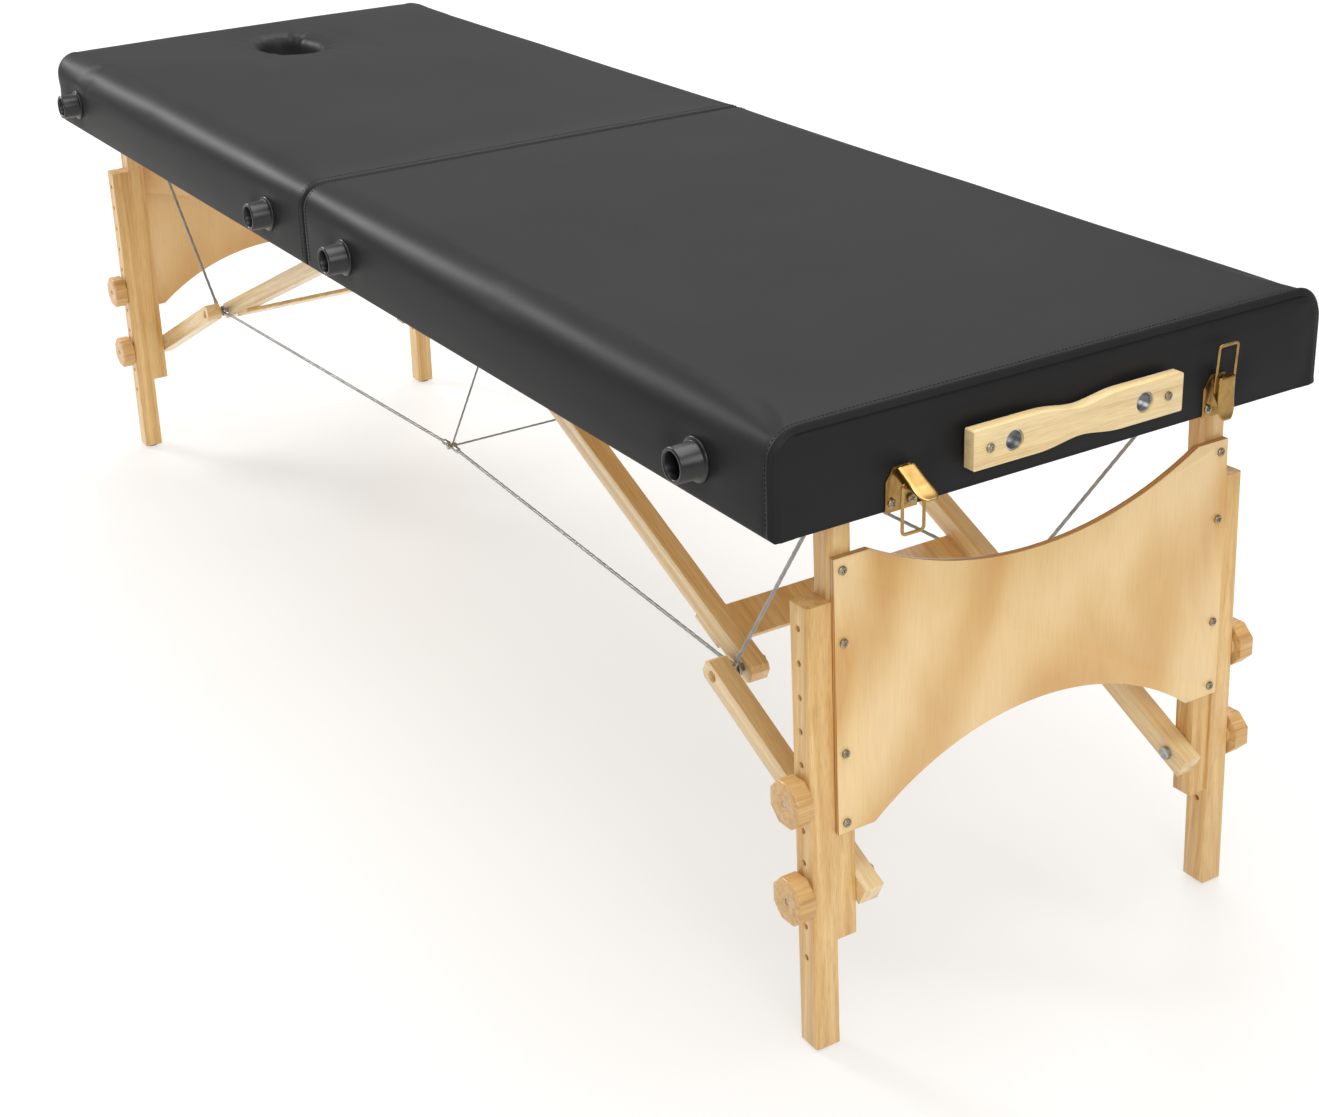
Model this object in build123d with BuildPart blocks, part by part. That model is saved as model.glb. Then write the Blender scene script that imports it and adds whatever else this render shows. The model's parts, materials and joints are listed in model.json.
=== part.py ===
from build123d import *

import os
from math import atan2, cos, degrees, hypot, radians, sin

# Portable massage table: a two-section padded top that folds at a centre hinge, on four wooden legs that
# extend by bolts and knobs, braced by folding struts and plastic-coated steel cables.
# Millimetres. +X to the foot end (handle and latches), +Z up, -Y the near long side.
# The origin is on the floor under the middle of the overall length. The two ends mirror each other
# about the centre hinge, so lengths along the table are measured from the hinge.

# ---- overall ----
HINGE_X = -17.314  # the centre hinge stands here, because the foot end carries the handle and latches
HALF_LENGTH = 910.0  # hinge line to end face
COVER_WIDTH = 596.0
SKIRT_Z = 519.0  # lower edge of the vinyl skirt
TOP_Z = 612.0
COVER_T = 2.0
TOP_RADIUS = 28.0  # rounded long edges of the padded top
HINGE_GAP = 1.0  # each section starts this far from the hinge line
HEAD_CORNER_R = 34.0  # plan radius of the head section's two outer corners

# ---- section carcass ----
RAIL_T, RAIL_H = 18.0, 54.0
DECK_T = 4.0
TUCK_W = 20.0  # vinyl turned under the rails
RAIL_Z = SKIRT_Z + COVER_T
DECK_Z = RAIL_Z + RAIL_H
FOAM_Z = DECK_Z + DECK_T
INNER_W = COVER_WIDTH - 2 * COVER_T
X_IN, X_OUT = HINGE_GAP + COVER_T, HALF_LENGTH - COVER_T  # ends of the carcass inside the cover
GLUE_GAP = 0.2

# ---- face hole in the head section ----
FACE_HOLE_X, FACE_HOLE_L, FACE_HOLE_W = 733.0, 150.0, 96.0
LINER_T = 2.0

# ---- accessory sockets ----
SOCKET_XS, SOCKET_Z = (107.0, 802.0), 556.0
SOCKET_R, SOCKET_BORE_R, SOCKET_OUT, SOCKET_END_T = 16.0, 12.0, 24.0, 4.0
SOCKET_FLANGE_R, SOCKET_FLANGE_T = 20.0, 2.0

# ---- legs ----
PIVOT_Z = 541.5
LEG_SPLAY = 1.547  # degrees, feet outwards
FOOT_LINE_X = 879.5  # where the leg's centreline meets the floor
PIVOT_X = FOOT_LINE_X - PIVOT_Z * sin(radians(LEG_SPLAY)) / cos(radians(LEG_SPLAY))
OUTER_Y = (-245.5, -220.9)  # outer post, from its outer face to its inner face
INNER_Y = (-220.6, -199.1)
OUTER_HALF = 12.9  # half of the outer post's width along the table
INNER_BACK, INNER_FRONT = -10.5, 11.0
OUTER_TOP_Z, INNER_BOTTOM_Z, INNER_TOP_OVER = 435.4, 108.2, 13.0
HOLE_PITCH, HOLE_COUNT, TOP_HOLE_Z = 32.0, 11, 413.7
BOLT_HOLES = (5, 8)  # which of the holes the two bolts use, counted from 0 at the top
BOLT_R, BOLT_HEAD_R, BOLT_HEAD_T = 3.0, 6.0, 2.5
RUNNING = 0.05  # radial clearance of a turning fit
POST_ROUND = 3.0
GLIDE_R, GLIDE_T = 9.0, 3.0
KNOB_FLATS, KNOB_T, KNOB_NECK_R, KNOB_NECK_T, KNOB_GAP = 42.0, 17.0, 12.0, 2.0, 0.6

# ---- end panel ----
PANEL_T, PANEL_HALF_W = 6.5, 220.6
PANEL_BOTTOM_Z, PANEL_TOP_Z, PANEL_ARCH_Z, PANEL_DIP_Z = 217.0, 475.0, 280.4, 428.0
PANEL_ARCH_HALF, PANEL_DIP_HALF = 182.0, 184.0
PANEL_SCREW_ZS, PANEL_SCREW_Y = (463.5, 397.5, 293.5, 226.5), 212.0
SCREW_R, SCREW_HEAD_R, SCREW_HEAD_T, SCREW_L = 1.75, 3.9, 1.4, 16.0

# ---- folding struts ----
DECK_PIVOT = (44.0, 536.0)  # upper brace on the deck, distance from the hinge and height
KNEE = (660.8, 262.5)
STRUT_DEPTH = 22.0
LINK_Y = (-198.6, -178.6)
BRACE_Y = (-164.3, -144.3)
BRACE_PAST_KNEE, BRACE_PAST_PIVOT, BRACE_CHAMFER = 16.0, 13.0, 5.0
LINK_PAST_KNEE, LINK_PAST_LEG, LINK_CHAMFER, LINK_RECESS = 15.0, 22.0, 5.0, 4.0
CROSSBAR_FROM_KNEE, CROSSBAR_W, CROSSBAR_T = 39.0, 44.0, 5.0
KNEE_BOLT_R, DECK_PIN_R, LEG_PIN_R = 4.0, 3.0, 4.0

# ---- cables ----
CABLE_R, CROSS_CABLE_R = 2.0, 1.25
EYE_R, EYE_T = 7.5, 3.0
STAY_EYE_Y, LONG_EYE_Y = -176.0, -170.5
STAY_ANCHOR = (848.0, -194.2, 527.0)
JUNCTION = (0.0, -137.5, 263.4)
HANGER_Y = -22.0

# ---- centre hinge ----
HINGE_Z, BARREL_R, HINGE_PIN_R = 515.5, 3.0, 1.5
HINGE_YS, HINGE_HALF_L, KNUCKLE_HALF = (-200.0, 0.0, 200.0), 20.0, 6.5
LEAF_W, LEAF_T, KNUCKLE_GAP = 24.0, 1.8, 0.3

# ---- carry handle and latches on the foot end face ----
HANDLE_L, HANDLE_H, HANDLE_T, HANDLE_Z, HANDLE_STANDOFF = 228.0, 35.0, 12.0, 559.0, 7.0
HANDLE_WAIST_TOP, HANDLE_WAIST_BOTTOM = 5.0, 5.0
HANDLE_HOLE_Y, HANDLE_HOLE_R, HANDLE_SCREW_Y = 71.0, 9.5, 97.0
LATCH_YS = (-173.0, 173.0)
PLATE_W, PLATE_T, PLATE_Z, PLATE_H = 32.0, 1.5, 518.0, 39.0
LATCH_PIVOT = (9.0, 552.0)  # distance from the end face, and height
LEVER_W, LEVER_T, LEVER_TOP, LEVER_TIP = 18.0, 1.5, 5.5, 34.5
LEVER_FACE, LEVER_EAR_OVER, LEVER_EAR_BELOW = 4.0, 4.0, 3.0
BAIL_DROP, BAIL_L, BAIL_HALF_W, BAIL_WIRE_R = 9.0, 44.0, 10.9, 1.3
LEVER_OPEN = 60.0  # degrees that the near latch's lever stands open
BAIL_UP = 176.0  # degrees that the far latch's wire loop is turned up from hanging
CATCH_W, CATCH_H, CATCH_OUT, CATCH_SCREW_Z = 20.0, 26.0, 7.0, 537.0

SPLAY_SIN, SPLAY_COS = sin(radians(LEG_SPLAY)), cos(radians(LEG_SPLAY))
HINGE_PLANE = Plane.YZ.offset(HINGE_X)
SIDES = (("near", 1), ("far", -1))

os.makedirs("parts", exist_ok=True)


def side_plane(y):
    """Upright plane along the table at y. Local x is the distance from the hinge, local y the height."""
    return Plane(origin=(HINGE_X, y, 0), x_dir=(1, 0, 0), z_dir=(0, -1, 0))


def leg_plane(y):
    """Plane of a splayed leg at y. Local x points out of the end, local y runs up the leg from its pivot."""
    return Plane(
        origin=(HINGE_X + PIVOT_X, y, PIVOT_Z), x_dir=(SPLAY_COS, 0, SPLAY_SIN), z_dir=(0, -1, 0)
    )


def strut_plane(start, end, y):
    """Plane of a strut at y with its local x from start to end, both given as (distance, height)."""
    run, rise = end[0] - start[0], end[1] - start[1]
    return Plane(origin=(HINGE_X + start[0], y, start[1]), x_dir=(run, 0, rise), z_dir=(0, -1, 0))


def down_leg(z):
    """Distance along the leg from its pivot to height z, negative downwards."""
    return (z - PIVOT_Z) / SPLAY_COS


def point(distance, y, z):
    return Vector(HINGE_X + distance, y, z)


def save(builder, name):
    """Label one finished piece and write it."""
    builder.part.label = name
    export_step(builder.part, f"parts/{name}.step")


def save_both_ends(builder, name):
    """Write a foot-end piece and its mirror image at the head end."""
    save(builder, "foot_" + name)
    with BuildPart() as head_copy:
        mirror(builder.part, about=HINGE_PLANE)
    save(head_copy, "head_" + name)


def both_sides(builder):
    """The near piece and its mirror image on the far side, as one group."""
    with BuildPart() as pair:
        add(builder.part)
        mirror(builder.part, about=Plane.XZ)
    return pair


HOLE_STEPS = [down_leg(TOP_HOLE_Z) - i * HOLE_PITCH for i in range(HOLE_COUNT)]
BOLT_STEPS = [HOLE_STEPS[i] for i in BOLT_HOLES]
LEG_JOINT = (PIVOT_X - BOLT_STEPS[1] * SPLAY_SIN, PIVOT_Z + BOLT_STEPS[1] * SPLAY_COS)  # link on the leg
BRACE_L = hypot(KNEE[0] - DECK_PIVOT[0], KNEE[1] - DECK_PIVOT[1])
LINK_L = hypot(LEG_JOINT[0] - KNEE[0], LEG_JOINT[1] - KNEE[1])


def rounded_plan(inset):
    """Upright block with the head section's plan outline, this far inside the vinyl's outer face."""
    start, finish = HINGE_GAP + inset, HALF_LENGTH - inset
    with BuildPart() as block:
        with BuildSketch(Plane.XY.offset(SKIRT_Z)) as plan:
            with Locations((HINGE_X + (start + finish) / 2, 0)):
                Rectangle(finish - start, COVER_WIDTH - 2 * inset)
            fillet(plan.vertices().group_by(Axis.X)[-1], HEAD_CORNER_R - inset)
        extrude(amount=TOP_Z - SKIRT_Z)
    return block.part


# ---- rail frame, deck board, foam and vinyl cover of each section ----
with BuildPart() as rail_frame:
    for side in (-1, 1):
        with BuildSketch(Plane.XY.offset(RAIL_Z)):
            with Locations((HINGE_X + (X_IN + X_OUT) / 2, side * (INNER_W - RAIL_T) / 2)):
                Rectangle(X_OUT - X_IN, RAIL_T)
        extrude(amount=RAIL_H)
    with BuildSketch(Plane.XY.offset(RAIL_Z)):
        with Locations((HINGE_X + X_IN + RAIL_T / 2, 0), (HINGE_X + X_OUT - RAIL_T / 2, 0)):
            Rectangle(RAIL_T, INNER_W - 2 * RAIL_T - 2 * GLUE_GAP)
    extrude(amount=RAIL_H)
    with BuildSketch(side_plane(INNER_W / 2)):
        with Locations(*[(x, SOCKET_Z) for x in SOCKET_XS]):
            Circle(SOCKET_R + GLUE_GAP)
    extrude(amount=INNER_W, mode=Mode.SUBTRACT)
save(rail_frame, "foot_rail_frame")
with BuildPart() as rounded_rail_frame:
    add(rail_frame.part)
    add(rounded_plan(COVER_T), mode=Mode.INTERSECT)
with BuildPart() as head_rail_frame:
    mirror(rounded_rail_frame.part, about=HINGE_PLANE)
save(head_rail_frame, "head_rail_frame")

for end in ("foot", "head"):
    with BuildPart() as deck_board:
        with BuildSketch(Plane.XY.offset(DECK_Z)):
            with Locations((HINGE_X + (X_IN + X_OUT) / 2, 0)):
                Rectangle(X_OUT - X_IN, INNER_W)
            if end == "head":
                with Locations((HINGE_X + FACE_HOLE_X, 0)):
                    Ellipse(FACE_HOLE_L / 2, FACE_HOLE_W / 2, mode=Mode.SUBTRACT)
        extrude(amount=DECK_T)
        if end == "head":
            add(rounded_plan(COVER_T), mode=Mode.INTERSECT)

    with BuildPart() as foam:
        with BuildSketch(Plane.YZ.offset(HINGE_X + X_IN)) as foam_outline:
            with Locations((0, (FOAM_Z + TOP_Z - COVER_T) / 2)):
                Rectangle(INNER_W, TOP_Z - COVER_T - FOAM_Z)
            fillet(foam_outline.vertices().group_by(Axis.Y)[-1], TOP_RADIUS - COVER_T / 2)
        extrude(amount=X_OUT - X_IN)
        if end == "head":
            with BuildSketch(Plane.XY.offset(FOAM_Z)):
                with Locations((HINGE_X + FACE_HOLE_X, 0)):
                    Ellipse(FACE_HOLE_L / 2, FACE_HOLE_W / 2)
            extrude(amount=TOP_Z - FOAM_Z, mode=Mode.SUBTRACT)
            add(rounded_plan(COVER_T), mode=Mode.INTERSECT)

    with BuildPart() as cover_inside:
        with BuildSketch(Plane.YZ.offset(HINGE_X + X_IN)) as cover_hollow:
            with Locations((0, (RAIL_Z + TOP_Z - COVER_T) / 2)):
                Rectangle(INNER_W, TOP_Z - COVER_T - RAIL_Z)
            fillet(cover_hollow.vertices().group_by(Axis.Y)[-1], TOP_RADIUS - COVER_T)
        extrude(amount=X_OUT - X_IN)
        if end == "head":
            add(rounded_plan(COVER_T), mode=Mode.INTERSECT)

    with BuildPart() as cover:
        with BuildSketch(Plane.YZ.offset(HINGE_X + HINGE_GAP)) as cover_outline:
            with Locations((0, (SKIRT_Z + TOP_Z) / 2)):
                Rectangle(COVER_WIDTH, TOP_Z - SKIRT_Z)
            fillet(cover_outline.vertices().group_by(Axis.Y)[-1], TOP_RADIUS)
        extrude(amount=HALF_LENGTH - HINGE_GAP)
        if end == "head":
            add(rounded_plan(0), mode=Mode.INTERSECT)
        add(cover_inside.part, mode=Mode.SUBTRACT)
        with BuildSketch(Plane.XY.offset(SKIRT_Z)):
            with Locations((HINGE_X + (X_IN + X_OUT) / 2, 0)):
                Rectangle(X_OUT - X_IN - 2 * TUCK_W, INNER_W - 2 * TUCK_W)
        extrude(amount=COVER_T, mode=Mode.SUBTRACT)
        with BuildSketch(side_plane(COVER_WIDTH / 2)):
            with Locations(*[(x, SOCKET_Z) for x in SOCKET_XS]):
                Circle(SOCKET_R + GLUE_GAP)
        extrude(amount=COVER_WIDTH, mode=Mode.SUBTRACT)
        if end == "head":
            with BuildSketch(Plane.XY.offset(FOAM_Z)):
                with Locations((HINGE_X + FACE_HOLE_X, 0)):
                    Ellipse(FACE_HOLE_L / 2, FACE_HOLE_W / 2)
            extrude(amount=TOP_Z - FOAM_Z, mode=Mode.SUBTRACT)

    for piece, name in ((deck_board, "deck_board"), (foam, "foam"), (cover, "cover")):
        if end == "head":
            with BuildPart() as head_piece:
                mirror(piece.part, about=HINGE_PLANE)
            save(head_piece, "head_" + name)
        else:
            save(piece, "foot_" + name)

with BuildPart() as face_hole_liner:
    with BuildSketch(Plane.XY.offset(DECK_Z)):
        with Locations((HINGE_X - FACE_HOLE_X, 0)):
            Ellipse(FACE_HOLE_L / 2 - GLUE_GAP, FACE_HOLE_W / 2 - GLUE_GAP)
            Ellipse(FACE_HOLE_L / 2 - LINER_T, FACE_HOLE_W / 2 - LINER_T, mode=Mode.SUBTRACT)
    extrude(amount=TOP_Z - DECK_Z)
save(face_hole_liner, "face_hole_liner")

# ---- accessory sockets: blind moulded tubes through the skirt and the side rails ----
with BuildPart() as near_sockets:
    for x in SOCKET_XS:
        with BuildSketch(side_plane(-INNER_W / 2 + RAIL_T)):
            with Locations((x, SOCKET_Z)):
                Circle(SOCKET_R)
        extrude(amount=RAIL_T + COVER_T + SOCKET_OUT)
        with BuildSketch(side_plane(-COVER_WIDTH / 2)):
            with Locations((x, SOCKET_Z)):
                Circle(SOCKET_FLANGE_R)
        extrude(amount=SOCKET_FLANGE_T)
        with BuildSketch(side_plane(-INNER_W / 2 + RAIL_T - SOCKET_END_T)):
            with Locations((x, SOCKET_Z)):
                Circle(SOCKET_BORE_R)
        extrude(amount=RAIL_T + COVER_T + SOCKET_OUT - SOCKET_END_T, mode=Mode.SUBTRACT)
sockets = both_sides(near_sockets)
save_both_ends(sockets, "sockets")

# ---- steel brackets under the deck: a fork for each leg and for each upper brace ----
FORK_T = 1.6
LEG_FORK = (INNER_Y[0] - 0.3 - FORK_T, INNER_Y[1] + 0.3 + FORK_T)
BRACE_FORK = (BRACE_Y[0] - 0.3 - FORK_T, BRACE_Y[1] + 0.3 + FORK_T)
LEG_FORK_HALF, LEG_FORK_DROP, BRACE_FORK_HALF, BRACE_FORK_DROP = 13.0, 12.0, 12.0, 9.0
ANCHOR_EAR_X, ANCHOR_EAR_Z, STUD_R, STUD_HEAD_R, STUD_HEAD_T = 840.0, 519.5, 2.5, 4.5, 1.5

with BuildPart() as near_brackets:
    for fork, centre, half, drop, pin_r in (
        (LEG_FORK, (PIVOT_X, PIVOT_Z), LEG_FORK_HALF, LEG_FORK_DROP, LEG_PIN_R),
        (BRACE_FORK, DECK_PIVOT, BRACE_FORK_HALF, BRACE_FORK_DROP, DECK_PIN_R),
    ):
        low, high = centre[1] - drop, DECK_Z
        with BuildSketch(side_plane(fork[1])):
            with Locations((centre[0], (low + high) / 2)):
                Rectangle(2 * half, high - low)
        extrude(amount=fork[1] - fork[0])
        with BuildSketch(side_plane(fork[1] - FORK_T)):
            with Locations((centre[0], (low + high) / 2 - FORK_T)):
                Rectangle(2 * half, high - low)
        extrude(amount=fork[1] - fork[0] - 2 * FORK_T, mode=Mode.SUBTRACT)
        with BuildSketch(side_plane(fork[1])):
            with Locations(centre):
                Circle(pin_r)
        extrude(amount=fork[1] - fork[0], mode=Mode.SUBTRACT)
    # the inner ear of the leg fork reaches back to hold the stay cable on a headed stud
    with BuildSketch(side_plane(LEG_FORK[1])):
        with Locations(((ANCHOR_EAR_X + PIVOT_X - LEG_FORK_HALF) / 2, (ANCHOR_EAR_Z + PIVOT_Z) / 2)):
            Rectangle(PIVOT_X - LEG_FORK_HALF - ANCHOR_EAR_X, PIVOT_Z - ANCHOR_EAR_Z)
    extrude(amount=FORK_T)
    with BuildSketch(side_plane(LEG_FORK[1] + EYE_T + 3.0)):
        with Locations((STAY_ANCHOR[0], STAY_ANCHOR[2])):
            Circle(STUD_R)
    extrude(amount=EYE_T + 3.0)
    with BuildSketch(side_plane(LEG_FORK[1] + EYE_T + 3.0 + STUD_HEAD_T)):
        with Locations((STAY_ANCHOR[0], STAY_ANCHOR[2])):
            Circle(STUD_HEAD_R)
    extrude(amount=STUD_HEAD_T)
brackets = both_sides(near_brackets)
save_both_ends(brackets, "brackets")

# ---- pins held by the sections: leg pivots, brace pivots and, in the foot section, the hinge pins ----
PIN_OVER, PIN_HEAD_T, PIN_HEAD_MORE = 1.5, 1.5, 1.5
with BuildPart() as near_pivot_pins:
    for fork, centre, pin_r in (
        (LEG_FORK, (PIVOT_X, PIVOT_Z), LEG_PIN_R),
        (BRACE_FORK, DECK_PIVOT, DECK_PIN_R),
    ):
        with BuildSketch(side_plane(fork[1] + PIN_OVER)):
            with Locations(centre):
                Circle(pin_r)
        extrude(amount=fork[1] - fork[0] + 2 * PIN_OVER)
        with BuildSketch(side_plane(fork[0])):
            with Locations(centre):
                Circle(pin_r + PIN_HEAD_MORE)
        extrude(amount=PIN_HEAD_T)
pivot_pins = both_sides(near_pivot_pins)
with BuildPart() as foot_section_pins:
    add(pivot_pins.part)
    for y in HINGE_YS:
        over = abs(HANGER_Y) - HINGE_HALF_L + 4.0 if y == 0 else 1.0
        with BuildSketch(side_plane(y + HINGE_HALF_L + over)):
            with Locations((0, HINGE_Z)):
                Circle(HINGE_PIN_R)
        extrude(amount=2 * (HINGE_HALF_L + over))
save(foot_section_pins, "foot_section_pins")
with BuildPart() as head_section_pins:
    mirror(pivot_pins.part, about=HINGE_PLANE)
save(head_section_pins, "head_section_pins")

# ---- centre hinge leaves: two outer knuckles on the foot leaf, one middle knuckle on the head leaf ----
def knuckle(y_high, length):
    """One barrel knuckle and the strip of leaf beside it, from y_high towards -Y."""
    with BuildSketch(side_plane(y_high)) as outline:
        with Locations((0, HINGE_Z)):
            Circle(BARREL_R)
        with Locations((LEAF_W / 4, SKIRT_Z - LEAF_T / 2)):
            Rectangle(LEAF_W / 2, LEAF_T)
    extrude(outline.sketch, amount=length)


LEAF_CLEAR = BARREL_R + 1.0
for end, spans in (
    ("foot", ((-HINGE_HALF_L, -KNUCKLE_HALF - KNUCKLE_GAP), (KNUCKLE_HALF + KNUCKLE_GAP, HINGE_HALF_L))),
    ("head", ((-KNUCKLE_HALF, KNUCKLE_HALF),)),
):
    with BuildPart() as leaves:
        for y in HINGE_YS:
            with BuildSketch(Plane.XY.offset(SKIRT_Z - LEAF_T)):
                with Locations((HINGE_X + (LEAF_CLEAR + LEAF_W) / 2, y)):
                    Rectangle(LEAF_W - LEAF_CLEAR, 2 * HINGE_HALF_L)
            extrude(amount=LEAF_T)
            for low, high in spans:
                knuckle(y + high, high - low)
            # the strip of leaf stops short of the other section, above and beside the barrel
            with BuildSketch(side_plane(y + HINGE_HALF_L)):
                with Locations((-BARREL_R / 2 - HINGE_GAP, SKIRT_Z)):
                    Rectangle(BARREL_R, 2 * LEAF_T)
                with Locations((0, HINGE_Z)):
                    Circle(HINGE_PIN_R + (RUNNING if end == "head" else 0))
            extrude(amount=2 * HINGE_HALF_L, mode=Mode.SUBTRACT)
    if end == "head":
        with BuildPart() as head_leaves:
            mirror(leaves.part, about=HINGE_PLANE)
        save(head_leaves, "head_hinge_leaves")
    else:
        save(leaves, "foot_hinge_leaves")

# ---- carry handle: a waisted board on two spacers, with counterbored holes and small screws ----
HANDLE_BACK = HALF_LENGTH + HANDLE_STANDOFF
WAIST_END = 46.0
FACE_X = HALF_LENGTH
EAR_T, EAR_R, EAR_GAP = 1.2, 3.5, 0.4
LATCH_PIN_R = 1.5
LATCH_SCREWS = ((-10.0, 526.0), (10.0, 526.0), (0.0, 553.5))
with BuildPart() as carry_handle:
    with BuildSketch(Plane.YZ.offset(HINGE_X + HANDLE_BACK)) as handle_outline:
        with BuildLine():
            half, high, low = HANDLE_L / 2, HANDLE_Z + HANDLE_H / 2, HANDLE_Z - HANDLE_H / 2
            Polyline((-half, low), (-half, high), (-WAIST_END, high))
            Spline(
                (-WAIST_END, high), (0, high - HANDLE_WAIST_TOP), (WAIST_END, high),
                tangents=((1, 0), (1, 0)),
            )
            Polyline((WAIST_END, high), (half, high), (half, low), (WAIST_END, low))
            Spline(
                (WAIST_END, low), (0, low + HANDLE_WAIST_BOTTOM), (-WAIST_END, low),
                tangents=((-1, 0), (-1, 0)),
            )
            Line((-WAIST_END, low), (-half, low))
        make_face()
        with Locations((-HANDLE_HOLE_Y, HANDLE_Z), (HANDLE_HOLE_Y, HANDLE_Z)):
            Circle(HANDLE_HOLE_R, mode=Mode.SUBTRACT)
        with Locations((-HANDLE_SCREW_Y, HANDLE_Z), (HANDLE_SCREW_Y, HANDLE_Z)):
            Circle(SCREW_R, mode=Mode.SUBTRACT)
    extrude(amount=HANDLE_T)
    chamfer(carry_handle.edges().filter_by(Axis.X).group_by(SortBy.LENGTH)[-1], 1.0)
save(carry_handle, "carry_handle")

with BuildPart() as foot_end_fasteners:
    for y in (-HANDLE_HOLE_Y, HANDLE_HOLE_Y):  # flanged steel cups with a dished floor
        with BuildSketch(Plane.YZ.offset(HINGE_X + HALF_LENGTH)):
            with Locations((y, HANDLE_Z)):
                Circle(HANDLE_HOLE_R - GLUE_GAP)
        extrude(amount=HANDLE_STANDOFF + HANDLE_T - 2.0)
        with BuildSketch(Plane.YZ.offset(HINGE_X + HANDLE_BACK + 3.0)):
            with Locations((y, HANDLE_Z)):
                Circle(HANDLE_HOLE_R - 1.5)
        extrude(amount=HANDLE_T, mode=Mode.SUBTRACT)
    for y in (-HANDLE_SCREW_Y, HANDLE_SCREW_Y):
        with BuildSketch(Plane.YZ.offset(HINGE_X + HALF_LENGTH)):
            with Locations((y, HANDLE_Z)):
                Circle(SCREW_R)
        extrude(amount=HANDLE_STANDOFF + HANDLE_T)
        with BuildSketch(Plane.YZ.offset(HINGE_X + HANDLE_BACK + HANDLE_T)):
            with Locations((y, HANDLE_Z)):
                Circle(SCREW_HEAD_R)
        extrude(amount=SCREW_HEAD_T)
    for centre_y in LATCH_YS:  # the screws and the lever pin of each latch
        for radius, start, length in ((SCREW_R, 0.0, PLATE_T), (SCREW_R + 1.2, PLATE_T, 1.0)):
            with BuildSketch(Plane.YZ.offset(HINGE_X + FACE_X + start)):
                with Locations(*[(centre_y + dy, z) for dy, z in LATCH_SCREWS]):
                    Circle(radius)
            extrude(amount=length)
        with BuildSketch(side_plane(centre_y + LEVER_W / 2 + 0.3)):
            with Locations((FACE_X + LATCH_PIVOT[0], LATCH_PIVOT[1])):
                Circle(LATCH_PIN_R)
        extrude(amount=LEVER_W + 0.6)
save(foot_end_fasteners, "foot_end_fasteners")

# ---- toggle latches: a plate with two ears, a lever and a wire bail, on each side of the handle ----
with BuildPart() as latch_plates:
    for centre_y in LATCH_YS:
        with BuildSketch(Plane.YZ.offset(HINGE_X + FACE_X)):
            with BuildLine():
                Polyline(
                    (centre_y - PLATE_W / 2, PLATE_Z),
                    (centre_y + PLATE_W / 2, PLATE_Z),
                    (centre_y + PLATE_W / 2, PLATE_Z + PLATE_H - 12),
                    (centre_y + PLATE_W / 2 - 8, PLATE_Z + PLATE_H),
                    (centre_y - PLATE_W / 2 + 8, PLATE_Z + PLATE_H),
                    (centre_y - PLATE_W / 2, PLATE_Z + PLATE_H - 12),
                    close=True,
                )
            make_face()
            with Locations(*[(centre_y + dy, z) for dy, z in LATCH_SCREWS]):
                Circle(SCREW_R, mode=Mode.SUBTRACT)
        extrude(amount=PLATE_T)
        for side in (-1, 1):  # ears stand inside the lever's flanges
            ear_y = centre_y + side * (LEVER_W / 2 - LEVER_T - EAR_GAP - EAR_T / 2)
            with BuildSketch(side_plane(ear_y + EAR_T / 2)):
                with Locations((FACE_X + LATCH_PIVOT[0] / 2, LATCH_PIVOT[1])):
                    Rectangle(LATCH_PIVOT[0], 2 * EAR_R)
                with Locations((FACE_X + LATCH_PIVOT[0], LATCH_PIVOT[1])):
                    Circle(EAR_R)
                    Circle(LATCH_PIN_R, mode=Mode.SUBTRACT)
            extrude(amount=EAR_T)
save(latch_plates, "latch_plates")

def lever_frame(centre_y, opened):
    """Plane of a lever: local x along it from its pivot to its tip, turned out of the closed place."""
    turn = radians(opened)
    return Plane(
        origin=(HINGE_X + FACE_X + LATCH_PIVOT[0], centre_y, LATCH_PIVOT[1]),
        x_dir=(sin(turn), 0, -cos(turn)),
        z_dir=(0, -1, 0),
    )


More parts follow.
